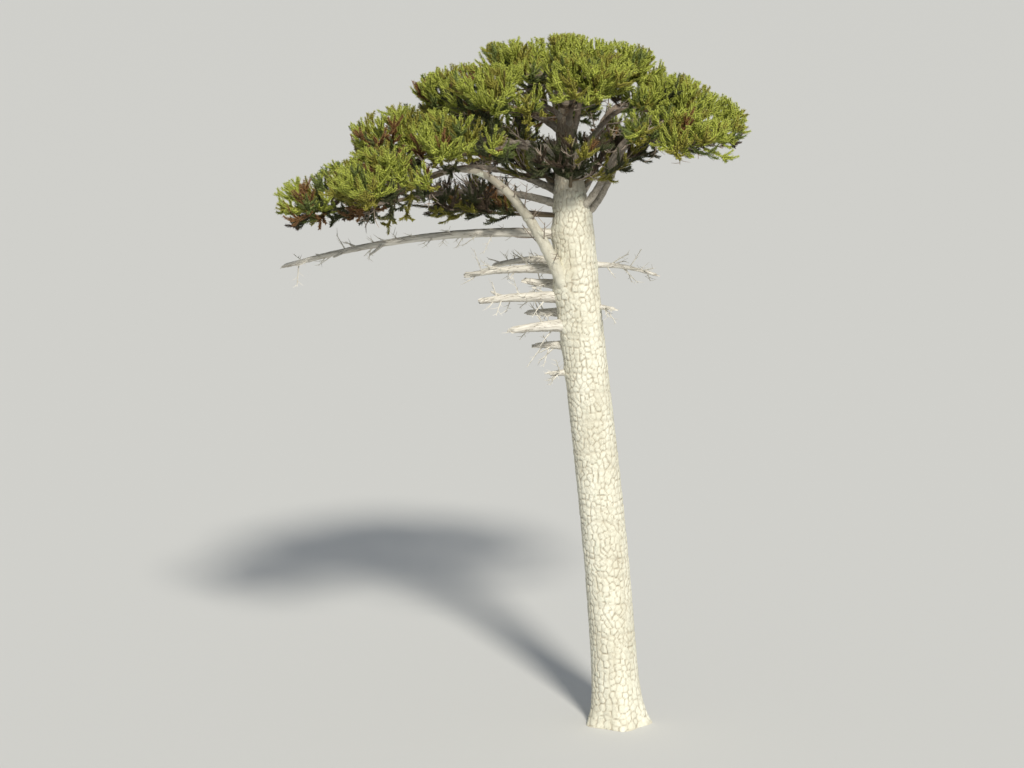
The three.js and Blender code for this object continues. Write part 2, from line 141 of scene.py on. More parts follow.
# %% A seeded stream
def number_stream(seed):
    state = seed & 0xFFFFFFFF

    def draw():
        nonlocal state
        state = (state + 0x6D2B79F5) & 0xFFFFFFFF
        mixed = ((state ^ (state >> 15)) * (state | 1)) & 0xFFFFFFFF
        mixed ^= (mixed + (mixed ^ (mixed >> 7)) * (mixed | 61)) & 0xFFFFFFFF
        return ((mixed ^ (mixed >> 14)) & 0xFFFFFFFF) / 2**32

    return draw


def mix(low, high, share):
    return low + (high - low) * share


def norms(vectors):
    return np.linalg.norm(vectors, axis=-1)


def unit(vector):
    return vector / np.maximum(np.linalg.norm(vector, axis=-1, keepdims=True), 1e-12)


first_draws = number_stream(100)
print("first numbers:", [round(first_draws(), 4) for _ in range(3)])

# %% [markdown]
# ## The form of the trunk
# The trunk leans to the left and thins very slowly up to the crown, then quickly inside it. Its
# foot widens into five low buttresses. These are functions of height, and they take whole arrays
# of heights.


# %% Trunk functions
def heading(turn):
    return np.stack([np.cos(turn), np.sin(turn), 0.0 * turn], axis=-1)


def aim(turn, rise):
    return heading(turn) * math.cos(rise) + UP * math.sin(rise)


def trunk_centre(height):
    share = height / TRUNK_TOP
    x = -LEAN * (share - LEAN_BEND * np.sin(FULL_TURN * share))
    return np.stack([x, SWEEP * np.sin(math.pi * share), share * TRUNK_TOP], axis=-1)


def trunk_radius(height):
    share = np.clip((height - CLEAR_TRUNK) / (TRUNK_TOP - CLEAR_TRUNK), 0, 1)
    bare = mix(GIRTH_RADIUS, CROWN_BASE_RADIUS, height / CLEAR_TRUNK)
    inside = mix(CROWN_BASE_RADIUS, TIP_RADIUS, share**TIP_TAPER)
    return np.where(height < CLEAR_TRUNK, bare, inside)


def flare(height, turn):
    lobes = 1 + BUTTRESS_SHARE * np.cos(BUTTRESSES * turn + BUTTRESS_TURN)
    return 1 + FLARE_SHARE * np.exp(-height / FLARE_HEIGHT) * lobes


print("girth at breast height:", round(float(FULL_TURN * trunk_radius(1.3)), 2), "m")

# %% [markdown]
# ## Lines through space
# Every limb, spray and shoot follows a smooth line. A line is kept as a function from a share, 0
# to 1, to a point. A Bezier line's points bunch up where it bends, so a table of lengths lets the
# line be read in even steps too. Which way is sideways along a line is taken from its overall
# direction, so that a limb that stands upright isn't turned over.


# %% Lines and their frames
UPRIGHT = 0.2
SAMPLES = 200
NEARBY = 1e-4


def level_across(direction):
    across = np.cross(direction, UP)
    return across if np.linalg.norm(across) >= UPRIGHT else np.array([0.0, 1.0, 0.0])


class Line:
    def __init__(self, at):
        self.at = at
        self.shares = np.linspace(0, 1, SAMPLES + 1)
        steps = norms(np.diff(at(self.shares), axis=0))
        self.lengths = np.concatenate([[0.0], np.cumsum(steps)])
        self.length = float(self.lengths[-1])
        self.level = level_across(unit(at(1.0) - at(0.0)))

    def even(self, share):
        return np.interp(share * self.length, self.lengths, self.shares)

    def frame(self, share):
        ahead = self.at(np.minimum(share + NEARBY, 1.0))
        along = unit(ahead - self.at(np.maximum(share - NEARBY, 0.0)))
        over = unit(np.cross(self.level, along))
        return along, np.cross(along, over), over


def bezier(*points):
    def at(share):
        share = np.asarray(share, float)[..., None]
        level = list(points)
        while len(level) > 1:
            level = [a + (b - a) * share for a, b in zip(level, level[1:])]
        return level[0] + 0 * share

    return at


# %% A line through given points
def through(points):
    ends = [2 * points[0] - points[1], *points, 2 * points[-1] - points[-2]]
    last = len(points) - 1

    def at_one(share):
        i = min(int(share * last), last - 1)
        a, b, c, d = ends[i : i + 4]
        spans = ((a, b), (b, c), (c, d))
        first, middle, final = (max(np.sum((q - p) ** 2) ** 0.25, 1e-4) for p, q in spans)
        start = ((b - a) / first - (c - a) / (first + middle) + (c - b) / middle) * middle
        end = ((c - b) / middle - (d - b) / (middle + final) + (d - c) / final) * middle
        s = share * last - i
        cubic = 2 * b - 2 * c + start + end
        return b + start * s + (3 * c - 3 * b - 2 * start - end) * s**2 + cubic * s**3

    def at(share):
        share = np.asarray(share, float)
        if share.ndim == 0:
            return at_one(float(share))
        return np.array([at_one(float(s)) for s in share])

    return at


# %% [markdown]
# ## Planning the boughs
# The boughs leave the trunk in four rings. Each one climbs steeply at first and levels out as it
# nears its clump of foliage, as a rib of an umbrella does. Where a rib ends is set by the crown's
# rim and by a dome over it. The plan draws its random numbers in the same order as the solid
# model.


# %% Plan one bough
TURN_JITTER = 0.3
REACH_RANGE = (0.95, 1.04)
TIP_RANGE = (-0.26, 0.12)
FALL_RANGE = (0.1, 0.3)
SWING_RANGE = (-0.09, 0.09)
CLIMB_HANDLE, LEVEL_HANDLE = 0.38, 0.34
SIZE_POWER = 0.6
FOOT_RADII = (0.088, 0.15)


def reach_at(turn):
    return REACH - REACH_TILT * math.cos(turn)


def dome_at(turn, share):
    return CAP_HEIGHT - (DROP - DROP_TILT * math.cos(turn)) * share**DOME_POWER


def plan_bough(ring, index, seed):
    draw = number_stream(seed)
    even = FULL_TURN / ring["count"] * (index + ring["turn"] + TURN_JITTER * (draw() - 0.5))
    turn = even + CROWDING * math.sin(even)
    reach = reach_at(turn)
    away = heading(turn)
    stretch = mix(*REACH_RANGE, draw())
    tip_share, heel_share = ring["tip"] * stretch, ring["heel"] * stretch
    axis = trunk_centre(TRUNK_TOP)
    tip_height = dome_at(turn, tip_share) + mix(*TIP_RANGE, draw())
    tip = axis * (1, 1, 0) + UP * tip_height + away * reach * tip_share
    fall = mix(*FALL_RANGE, draw()) * np.linalg.norm(tip - axis) / REACH
    heel_height = tip[2] + fall * reach * (tip_share - heel_share)
    heel = axis * (1, 1, 0) + UP * heel_height + away * reach * heel_share
    swing = mix(*SWING_RANGE, draw())
    name = f"{ring['name']}_{index + 1}"
    forked = name == FORK["bough"]
    leaves_at = FORK["height"] if forked else mix(ring["low"], ring["high"], (index * STAGGER) % 1)
    start = trunk_centre(leaves_at)
    leaving = unit(tip - heel)
    span = np.linalg.norm(heel - start)
    climbing = aim(turn + swing, math.radians(FORK["rise"] if forked else ring["rise"]))
    handles = start + climbing * span * CLIMB_HANDLE, heel - leaving * span * LEVEL_HANDLE
    usual = mix(*FOOT_RADII, (TRUNK_TOP - start[2]) / (TRUNK_TOP - CLEAR_TRUNK))
    return {
        "name": name, "ring": ring["name"], "seed": seed, "sprays": ring["sprays"],
        "heel": heel, "tip": tip, "leaving": leaving, "size": (reach / REACH) ** SIZE_POWER,
        "rib": Line(bezier(start, *handles, heel)), "foot": FORK["radius"] if forked else usual,
    }  # fmt: skip


plans = [
    plan_bough(ring, index, 100 * (r + 1) + index)
    for r, ring in enumerate(RINGS)
    for index in range(ring["count"])
]
plans = [plan for plan in plans if plan["name"] not in LOST_BOUGHS]
farthest = max(plan["rib"].length for plan in plans)
print("planned", len(plans), "boughs, the longest", round(farthest, 2), "m")

# %% How thick a bough is along its rib
RIB_COLLAR, RIB_COLLAR_LENGTH, RIB_TAPER = 0.35, 0.09, 0.8


def rib_radius(plan, share):
    collar = 1 + RIB_COLLAR * np.exp(-share / RIB_COLLAR_LENGTH)
    return mix(plan["foot"], STEM_RADIUS, share**RIB_TAPER) * collar


# %% [markdown]
# ## Bark and dead wood
# The old bark is pale, almost cream, with darker lines between its plates and a little grey-green
# lichen. Younger bark, high on the trunk and far out on the boughs, is brown and scarred across,
# and the dead limbs are bleached like driftwood and split along their grain. They weather in the
# same ways, so those are built once as node groups, and each material places them with its own
# values. The groups give out masks only. A limb's mesh also keeps how young the bark is at each
# point, and its skin, which is where each point was before the limb was bent. The skin makes
# scars run across a limb and splits run along it.


# %% A short way to place nodes
def add_node(tree, kind, inputs=None, **settings):
    """Place a node and set it. An input given a socket is linked to it, and any other is set."""
    node = tree.nodes.new(kind)
    for name, value in settings.items():
        setattr(node, name, value)
    for name, value in (inputs or {}).items():
        if isinstance(value, bpy.types.NodeSocket):
            tree.links.new(value, node.inputs[name])
        else:
            node.inputs[name].default_value = value
    return node


def maths(tree, operation, *values, **settings):
    both = dict(enumerate(values))
    return add_node(tree, "ShaderNodeMath", both, operation=operation, **settings).outputs[0]


def start_group(name, inputs, output):
    group = bpy.data.node_groups.new(name, "ShaderNodeTree")

    def socket(label, way, kind="NodeSocketFloat"):
        return group.interface.new_socket(label, in_out=way, socket_type=kind)

    socket("Place", "INPUT", "NodeSocketVector")
    for label, value in inputs.items():
        socket(label, "INPUT").default_value = value
    socket(output, "OUTPUT")
    given, results = group.nodes.new("NodeGroupInput"), group.nodes.new("NodeGroupOutput")
    return group, given.outputs, results.inputs[output]


def drawn_out(tree, given):
    upright = add_node(tree, "ShaderNodeCombineXYZ", {"X": 1.0, "Y": 1.0, "Z": given["Upright"]})
    both = {0: given["Place"], 1: upright.outputs[0]}
    return add_node(tree, "ShaderNodeVectorMath", both, operation="MULTIPLY").outputs[0]


# %% Weather patches: broad, soft differences of tone, drawn out along rain or grain
patch_values = {"Size": 1.0, "Contrast": 2.0, "Upright": 1.0}
patches, given, result = start_group("weather_patches", patch_values, "Patches")
drawn = drawn_out(patches, given)
soft = {"Vector": drawn, "Scale": given["Size"], "Detail": 5.0, "Roughness": 0.6}
noise = add_node(patches, "ShaderNodeTexNoise", soft).outputs["Fac"]
centred = maths(patches, "SUBTRACT", noise, 0.5)
spread = maths(patches, "MULTIPLY_ADD", centred, given["Contrast"], 0.5, use_clamp=True)
patches.links.new(spread, result)

# %% Fine cracks: wavering lines between cells, that fade in and out
WAVER = 0.9
crack_values = {"Size": 20.0, "Width": 0.08, "Upright": 1.0}
cracks, given, result = start_group("fine_cracks", crack_values, "Cracks")
whole = {0: drawn_out(cracks, given), "Scale": given["Size"]}
sized = add_node(cracks, "ShaderNodeVectorMath", whole, operation="SCALE").outputs[0]
waver = add_node(cracks, "ShaderNodeTexNoise", {"Vector": sized, "Scale": 1.4, "Detail": 3.0})
shift = {0: waver.outputs["Color"], 1: (WAVER, WAVER, WAVER), 2: sized}
moved = add_node(cracks, "ShaderNodeVectorMath", shift, operation="MULTIPLY_ADD").outputs[0]
unscaled = {"Vector": moved, "Scale": 1.0}
cells = add_node(cracks, "ShaderNodeTexVoronoi", unscaled, feature="DISTANCE_TO_EDGE")
to_edge = cells.outputs["Distance"]
thin = {"Value": to_edge, "From Max": given["Width"], "To Min": 1.0, "To Max": 0.0}
narrow = add_node(cracks, "ShaderNodeMapRange", thin).outputs["Result"]
where = add_node(cracks, "ShaderNodeTexNoise", {"Vector": sized, "Scale": 0.45, "Detail": 3.0})
part = {"Value": where.outputs["Fac"], "From Min": 0.4, "From Max": 0.62}
fade = add_node(cracks, "ShaderNodeMapRange", part, interpolation_type="SMOOTHSTEP")
cracks.links.new(maths(cracks, "MULTIPLY", narrow, fade.outputs["Result"]), result)

# %% Lichen: scattered pale spots with soft edges
SPOT_EDGE = 0.06
lichen, given, result = start_group("lichen_spots", {"Size": 3.0, "Start": 0.6}, "Spots")
ragged = {"Vector": given["Place"], "Scale": given["Size"], "Detail": 8.0, "Roughness": 0.75}
crust = add_node(lichen, "ShaderNodeTexNoise", ragged).outputs["Fac"]
full_from = maths(lichen, "ADD", given["Start"], SPOT_EDGE)
beyond = {"Value": crust, "From Min": given["Start"], "From Max": full_from}
spots = add_node(lichen, "ShaderNodeMapRange", beyond, interpolation_type="SMOOTHSTEP")
lichen.links.new(spots.outputs["Result"], result)
print("groups:", [group.name for group in bpy.data.node_groups])


# %% What every material starts and ends with
def start_material(name):
    material = bpy.data.materials.new(name)
    material.use_nodes = True
    return material, material.node_tree, material.node_tree.nodes["Principled BSDF"].inputs


def own_place(tree):
    return add_node(tree, "ShaderNodeTexCoord").outputs["Object"]


def finish_surface(tree, shader, patch, roughest, height, strength, depth):
    """Roughness that goes with the patches, between two values, and a fine relief."""
    ends = {"Value": patch, "To Min": roughest[0], "To Max": roughest[1]}
    ranged = add_node(tree, "ShaderNodeMapRange", ends)
    tree.links.new(ranged.outputs["Result"], shader["Roughness"])
    grain = {"Strength": strength, "Distance": depth, "Height": height}
    tree.links.new(add_node(tree, "ShaderNodeBump", grain).outputs["Normal"], shader["Normal"])


# %% A bark material from the three groups
def bark_material(name, old, young, crack, crust, sizes, upright, depth, furrow=None, skin=None):
    """old and young are pairs of shaded and sunny tones. sizes are in patches, cracks and spots
    per metre. upright, for patches and cracks, draws them out upwards where it is under 1."""
    material, tree, shader = start_material(name)

    def kept(label):
        return add_node(tree, "ShaderNodeAttribute", attribute_name=label).outputs

    place = kept(skin)["Vector"] if skin else own_place(tree)

    def effect(group, **values):
        values["Place"] = place
        return add_node(tree, "ShaderNodeGroup", values, node_tree=group).outputs[0]

    def blend(share, *tones):
        under, over = ((*tone, 1) if isinstance(tone, tuple) else tone for tone in tones)
        both = {"Factor": share, 6: under, 7: over}
        return add_node(tree, "ShaderNodeMix", both, data_type="RGBA").outputs[2]

    patch = effect(patches, Size=sizes[0], Contrast=2.6, Upright=upright[0])
    colour, height = blend(patch, *old), patch
    if young:
        colour = blend(kept("young")["Fac"], colour, blend(patch, *young))
    colour = blend(effect(lichen, Size=sizes[2], Start=0.58), colour, crust)
    if crack:
        line = effect(cracks, Size=sizes[1], Width=0.11, Upright=upright[1])
        if furrow:
            line = maths(tree, "MAXIMUM", maths(tree, "MULTIPLY", line, 0.4), kept(furrow)["Fac"])
        colour = blend(line, colour, crack)
        height = maths(tree, "MULTIPLY_ADD", line, -1.0, patch)
    tree.links.new(colour, shader["Base Color"])
    finish_surface(tree, shader, patch, (0.8, 0.96), height, 0.7, depth)
    return material


# %% The barks and woods
BROWN_BARK = ((0.13, 0.10, 0.075), (0.27, 0.215, 0.165))
trunk_bark = bark_material(
    "pale_trunk_bark", ((0.64, 0.61, 0.48), (0.87, 0.86, 0.73)), BROWN_BARK, (0.40, 0.35, 0.26),
    (0.74, 0.75, 0.62), (1.6, 17.0, 2.2), (0.3, 0.6), 0.02, furrow="furrow",
)  # fmt: skip
limb_bark = bark_material(
    "limb_bark", ((0.40, 0.36, 0.29), (0.66, 0.62, 0.53)), BROWN_BARK, (0.08, 0.062, 0.047),
    (0.42, 0.41, 0.34), (5.0, 14.0, 3.0), (0.4, 2.4), 0.012, skin="skin",
)  # fmt: skip
dead_wood = bark_material(
    "bleached_dead_wood", ((0.52, 0.49, 0.42), (0.84, 0.81, 0.73)), None, (0.25, 0.21, 0.165),
    (0.66, 0.65, 0.57), (20.0, 24.0, 5.0), (0.08, 0.09), 0.01, skin="skin",
)  # fmt: skip
TWIG_TONES = {
    "bleached_twigs": ((0.52, 0.49, 0.42), (0.82, 0.79, 0.71), (0.66, 0.65, 0.57)),
    "twig_bark": ((0.085, 0.065, 0.04), (0.17, 0.13, 0.075), (0.16, 0.16, 0.08)),
    "bare_twig_bark": ((0.22, 0.17, 0.135), (0.44, 0.36, 0.29), (0.38, 0.35, 0.29)),
}
bleached_twig, twig_bark, bare_twig_bark = (
    bark_material(name, tones, None, None, crust, (4.0, None, 6.0), (1.0, None), 0.004)
    for name, (*tones, crust) in TWIG_TONES.items()
)
print("barks:", [material.name for material in bpy.data.materials])

# %% [markdown]
# ## The trunk, as a pulled-up ring
# A trunk can be drawn up from a ring on the ground: extrude the ring, move it along the lean,
# make it as narrow as the trunk is there, and again. Sixty levels follow the lean well. The foot
# is closed with a flat face, because the tree is cut off square at the ground.


# %% Pull the trunk up
def switch(mode):
    bpy.ops.object.mode_set(mode=mode)


LEVELS = 60
RING_POINTS = 40
level_heights = np.linspace(0, 1, LEVELS + 1) * TRUNK_TOP
first_radius = float(trunk_radius(0.0))
bpy.ops.mesh.primitive_circle_add(vertices=RING_POINTS, radius=first_radius, fill_type="NGON")
trunk = bpy.context.object
trunk.name = "trunk_bark"
switch("EDIT")
for low, high in zip(level_heights, level_heights[1:]):
    step = trunk_centre(high) - trunk_centre(low)
    narrower = float(trunk_radius(high) / trunk_radius(low))
    bpy.ops.mesh.extrude_region_move(TRANSFORM_OT_translate={"value": tuple(step)})
    axis = tuple(trunk_centre(high))
    bpy.ops.transform.resize(value=(narrower, narrower, 1), center_override=axis)
switch("OBJECT")
print("levels:", LEVELS, "faces:", len(trunk.data.polygons))

# %% [markdown]
# Bark plates are raised from many small faces, so the side is subdivided twice: every edge into
# four, and then the upright edges once more. Last, the end faces are given a centre.


# %% Read and move a piece's corners
def corners_of(piece):
    place = np.empty(len(piece.data.vertices) * 3)
    piece.data.vertices.foreach_get("co", place)
    return place.reshape(-1, 3)


def move_corners(piece, place):
    piece.data.vertices.foreach_set("co", place.ravel())
    piece.data.update()


# %% Select edges by a rule, and give the end faces a centre
def select_edges(piece, rule):
    switch("OBJECT")
    ends = np.empty(len(piece.data.edges) * 2, np.int64)
    piece.data.edges.foreach_get("vertices", ends)
    a, b = corners_of(piece)[ends.reshape(-1, 2)].transpose(1, 0, 2)
    bpy.context.tool_settings.mesh_select_mode = (False, True, False)
    switch("EDIT")
    bpy.ops.mesh.select_all(action="DESELECT")
    switch("OBJECT")
    piece.data.edges.foreach_set("select", rule(a, b))
    switch("EDIT")


def close_ends():
    switch("OBJECT")
    bpy.context.tool_settings.mesh_select_mode = (False, False, True)
    switch("EDIT")
    bpy.ops.mesh.select_all(action="DESELECT")
    bpy.ops.mesh.select_face_by_sides(number=4, type="GREATER")
    bpy.ops.mesh.poke()
    bpy.ops.mesh.select_all(action="SELECT")
    bpy.ops.mesh.normals_make_consistent(inside=False)
    switch("OBJECT")


# %% Subdivide the trunk's side
select_edges(trunk, lambda a, b: np.ones(len(a), bool))
bpy.ops.mesh.subdivide(number_cuts=3)
select_edges(trunk, lambda a, b: np.abs(a[:, 2] - b[:, 2]) > 0.01)
bpy.ops.mesh.subdivide(number_cuts=1)
close_ends()
print("trunk faces:", len(trunk.data.polygons))

# %% [markdown]
# ## Bark plates
# Old monkey puzzle bark cracks into plates with five or six sides, like a tortoise's shell, and
# level rings mark where boughs once grew. Seeds are scattered over the unrolled bark, and each
# point of the bark belongs to its nearest seed. Where two seeds are equally near there is a
# furrow. Its depth is kept on the mesh, so that the material can darken it.


# %% Plates from scattered seeds
def plates(around, upward, cells, width, tall, seed):
    """How far each point is from its plate's edge, and the lifts of its plate and the next."""
    scatter = np.random.default_rng(seed)
    rows = int(TRUNK_TOP / tall) + 4
    jitter = scatter.uniform(0.12, 0.88, (rows, cells, 2))
    lift = scatter.uniform(-1, 1, (rows, cells))
    column, row = around * cells, upward / tall + 1
    near = np.full(len(around), np.inf)
    second = near.copy()
    owner, next_owner = np.zeros(len(around)), np.zeros(len(around))
    for r in (-1, 0, 1):
        for c in (-1, 0, 1):
            i = np.clip(np.floor(row).astype(int) + r, 0, rows - 1)
            j = np.floor(column).astype(int) + c
            seat = jitter[i, j % cells]
            gap = np.hypot((j + seat[:, 0] - column) * width, (i + seat[:, 1] - row) * tall)
            closer, between = gap < near, (gap >= near) & (gap < second)
            next_owner = np.where(closer, owner, np.where(between, lift[i, j % cells], next_owner))
            second = np.where(closer, near, np.minimum(second, gap))
            owner = np.where(closer, lift[i, j % cells], owner)
            near = np.where(closer, gap, near)
    return second - near, owner, next_owner


# %% Raise the plates, sink the furrows and swell the collars
PLATES = {"cells": 24, "width": 0.19, "tall": 0.21, "seed": 31}
PLATE_RISE = 0.008
WAVES = ((0.05, 3, 1.3), (0.03, 7, -2.1))
FURROW_WIDTH, FURROW_DEPTH = 0.03, 0.026
SWELL = 0.012
SCAR_HEIGHTS = np.arange(3.2, 20.0, 0.87)
SCAR_WIDTH, SCAR_DEPTH, SCAR_SHADE = 0.045, 0.014, 0.35
SCAR_SHIFT, SCAR_WAVE = 0.22, 0.04
COLLAR_RISE, COLLAR_SPREAD = 0.42, 1.5
DEAD_COLLAR_LIFT, COLLAR_DROP = 0.02, 0.04
STEEP_DROP, STEEP_STRETCH = 0.3, 0.5
place = corners_of(trunk)
height = np.clip(place[:, 2], 0, TRUNK_TOP)
offset = place - trunk_centre(height)
inset = np.hypot(offset[:, 0], offset[:, 1])
turn = np.arctan2(offset[:, 1], offset[:, 0]) % FULL_TURN
wave = sum(size * np.sin(lobes * turn + rise * height) for size, lobes, rise in WAVES)
edge, lift, next_lift = plates(turn / FULL_TURN, height + wave, **PLATES)
stepped = 0.35 + 0.65 * np.clip(np.abs(lift - next_lift) * 1.3, 0, 1)
furrow = np.exp(-((edge / FURROW_WIDTH) ** 2)) * stepped
swell = SWELL * np.sin(3 * turn + 0.35 * height)
scale = trunk_radius(height) / GIRTH_RADIUS
relief = scale * (PLATE_RISE + PLATE_RISE * lift - FURROW_DEPTH * furrow + swell)
for scar in SCAR_HEIGHTS:
    level = scar + SCAR_SHIFT * math.sin(3.1 * scar) + SCAR_WAVE * np.sin(2 * turn + scar)
    groove = np.exp(-(((height - level) / SCAR_WIDTH) ** 2))
    relief -= SCAR_DEPTH * scale * groove
    furrow = np.maximum(furrow, SCAR_SHADE * groove)
collars = [
    (math.radians(limb["turn"]), limb["height"] + DEAD_COLLAR_LIFT, limb["radius"], 1.0)
    for limb in DEAD_LIMBS
]
for plan in plans:
    near = plan["rib"].at(np.linspace(0, 0.5, 200))
    offset = near - trunk_centre(near[:, 2])
    leaves = int(np.argmax(norms(offset) > trunk_radius(near[:, 2])))
    steep = unit(near[leaves + 1] - near[leaves])[2]
    leaves_to = math.atan2(offset[leaves, 1], offset[leaves, 0])
    middle = near[leaves, 2] - COLLAR_DROP - STEEP_DROP * steep**4
    collars.append((leaves_to, middle, plan["foot"], 1 - STEEP_STRETCH * steep**2))
for collar_turn, collar_height, limb_radius, flat in collars:
    aside = (turn - collar_turn + math.pi) % FULL_TURN - math.pi
    gap = np.hypot(aside * trunk_radius(collar_height), (height - collar_height) * flat)
    relief += COLLAR_RISE * limb_radius * np.exp(-((gap / (COLLAR_SPREAD * limb_radius)) ** 2))
whole = trunk_radius(height) * flare(height, turn) + relief
radius = np.where(inset < 1e-4, 0, whole)
move_corners(trunk, trunk_centre(height) + heading(turn) * radius[:, None])
print("relief from", round(float(relief.min()), 3), "to", round(float(relief.max()), 3), "m")


# %% Keep the furrows' depth and the bark's youth on the mesh
def keep_number(piece, name, values):
    numbers = piece.data.attributes.new(name, "FLOAT", "POINT").data
    numbers.foreach_set("value", np.asarray(values, np.float32))


PALE_UP_TO, BROWN_FROM = 17.3, 18.5
keep_number(trunk, "furrow", furrow)
keep_number(trunk, "young", np.clip((height - PALE_UP_TO) / (BROWN_FROM - PALE_UP_TO), 0, 1))


# %% Give a piece its finish and its place in the tree
def pick(*pieces):
    bpy.ops.object.select_all(action="DESELECT")
    for piece in pieces:
        piece.select_set(True)
    bpy.context.view_layer.objects.active = pieces[0]


def dress(piece, material, nodes, smooth=50):
    piece.data.materials.clear()
    piece.data.materials.append(material)
    if smooth:
        pick(piece)
        bpy.ops.object.shade_smooth_by_angle(angle=math.radians(smooth))
    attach(piece, "root")
    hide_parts(*nodes)


dress(trunk, trunk_bark, ["trunk"])

# %% [markdown]
# ## A pole to bend into limbs
# Every bough and dead limb starts as the same straight pole: a cylinder a metre high, whose
# upright edges are cut into many short ones. Each limb is a copy whose rings are moved onto the
# limb's line. They stay square to the line, and take the limb's thickness at once.


# %% Model the pole
def model_pole(sides, rings):
    bpy.ops.object.select_all(action="DESELECT")
    bpy.ops.mesh.primitive_cylinder_add(vertices=sides, radius=1, depth=1, location=(0, 0, 0.5))
    pole = bpy.context.object
    bpy.ops.object.transform_apply(location=True)
    select_edges(pole, lambda a, b: np.abs(a[:, 2] - b[:, 2]) > 0.5)
    bpy.ops.mesh.subdivide(number_cuts=rings - 1)
    close_ends()
    pole.hide_render = True
    return pole


bough_pole = model_pole(sides=14, rings=84)
twig_pole = model_pole(sides=7, rings=14)
print("pole faces:", len(bough_pole.data.polygons), len(twig_pole.data.polygons))


# %% Bend a copy of a pole along a line
def bent_pole(pole, name, line, radius_at, foot=0.0, young_at=None):
    limb = pole.copy()
    limb.data = pole.data.copy()
    limb.name, limb.hide_render = name, False
    bpy.context.scene.collection.objects.link(limb)
    x, y, z = corners_of(limb).T
    share = foot + (1 - foot) * z
    even = line.even(share)
    _, side, over = line.frame(even)
    radius = radius_at(share)[:, None]
    move_corners(limb, line.at(even) + (over * x[:, None] + side * y[:, None]) * radius)
    size = np.column_stack([radius, radius, 0 * radius + line.length])
    skin = np.stack([x, y, z], axis=1) * size
    unbent = limb.data.attributes.new("skin", "FLOAT_VECTOR", "POINT").data
    unbent.foreach_set("vector", (skin + line.at(0.5)).astype(np.float32).ravel())
    if young_at:
        keep_number(limb, "young", young_at(share))
    return limb


# %% Knobbly skin, from a cloud of soft noise
knobs = bpy.data.textures.new("limb_knobs", type="CLOUDS")
knobs.noise_scale = 0.16
knobs.noise_depth = 3


def roughen(limb, strength):
    pick(limb)
    lumps = limb.modifiers.new("lumps", "DISPLACE")
    lumps.texture, lumps.strength, lumps.mid_level = knobs, strength, 0.5
    bpy.ops.object.modifier_apply(modifier=lumps.name)


# %% [markdown]
# ## Boughs
# Monkey puzzle boughs are ringed with narrow scars of older leaves and side shoots. The rings are
# a swelling of the bough's own radius, and noise makes the skin knobbly between them.


# %% The boughs
RING_SPACING = 0.31
RING_SWELL = 0.09
BOUGH_KNOBS = 0.035
RIB_MARKS = 60
BROWNING = {"lower": 0.9, "middle": 0.7, "upper": 0.4, "crest": 0.1}
FORK_BROWNING = 1.3


def ringed_radius(plan):
    def radius_at(share):
        scars = np.abs(np.sin(math.pi * share * plan["rib"].length / RING_SPACING)) ** 8
        return rib_radius(plan, share) * (0.97 + RING_SWELL * scars)

    return radius_at


for plan in plans:
    forked = plan["name"] == FORK["bough"]
    start = plan["rib"].at(0.0)[2]
    gap = norms(plan["rib"].at(np.linspace(0, 1, RIB_MARKS)) - trunk_centre(start))
    foot = float(np.argmax(gap > 0.5 * trunk_radius(start))) / RIB_MARKS
    browning = FORK_BROWNING if forked else BROWNING[plan["ring"]]
    bough = bent_pole(
        bough_pole, "limb_" + plan["name"], plan["rib"], ringed_radius(plan), foot,
        young_at=lambda share: np.clip(share / browning, 0, 1),
    )  # fmt: skip
    roughen(bough, BOUGH_KNOBS)
    dress(bough, trunk_bark if forked else limb_bark, ["bough_" + plan["name"]])
print("boughs made:", len(plans))

# %% [markdown]
# ## Dead limbs and broken stubs
# Under the crown, old boughs have died. They are bare and bleached, sag under their own weight,
# and end in splinters. Some keep dead twigs, and a limb and its twigs are joined into one piece.


# %% The line of a dead limb, and its twigs
LIMB_SWAY = 0.09
MIDWAY = 0.55
DEAD_TWIG_SHARES = (0.55, 0.95)
DEAD_TWIG_LENGTHS = (0.42, 0.9)
DEAD_TWIG_THICKNESS = 0.62


def dead_radius(radius, share):
    return radius * (1 - DEAD_TAPER * share)


def plan_dead_limb(limb, index):
    draw = number_stream(900 + index)
    turn = math.radians(limb["turn"])
    start = trunk_centre(limb["height"])
    overall = limb["length"] + float(trunk_radius(limb["height"]))
    points = []
    for share in (0, 0.25, 0.5, 0.75, 1):
        sway = share * overall * LIMB_SWAY * (draw() - 0.5)
        arch = DEAD_ARCH * limb["length"] * math.sin(math.pi * share)
        sag = limb["droop"] * share * share - arch
        aside = heading(turn + math.pi / 2) * sway
        points.append(start + heading(turn) * overall * share + aside - UP * sag)
    line = Line(through(points))
    twigs = []
    for i in range(limb["twigs"]):
        share = mix(*DEAD_TWIG_SHARES, (i + 0.4) / limb["twigs"])
        along, side, _ = line.frame(share)
        hand = -1 if i % 2 else 1
        direction = unit(along * 0.7 + side * 0.7 * hand + UP * mix(-0.5, 0.3, draw()))
        length = mix(*DEAD_TWIG_LENGTHS, draw())
        root = line.at(share)
        middle, end = root + direction * length * MIDWAY, root + direction * length + UP * 0.06
        thick = dead_radius(limb["radius"], share) * DEAD_TWIG_THICKNESS
        twigs.append((Line(bezier(root, middle, end)), thick))
    return line, twigs


# %% Splinter the end of a limb
SPLINTERS = 9
LIMB_TEAR, TWIG_TEAR = 0.34, 0.05
TEAR_SLOPE, TEAR_SQUEEZE, TEAR_CUT = 0.25, 0.8, 0.5


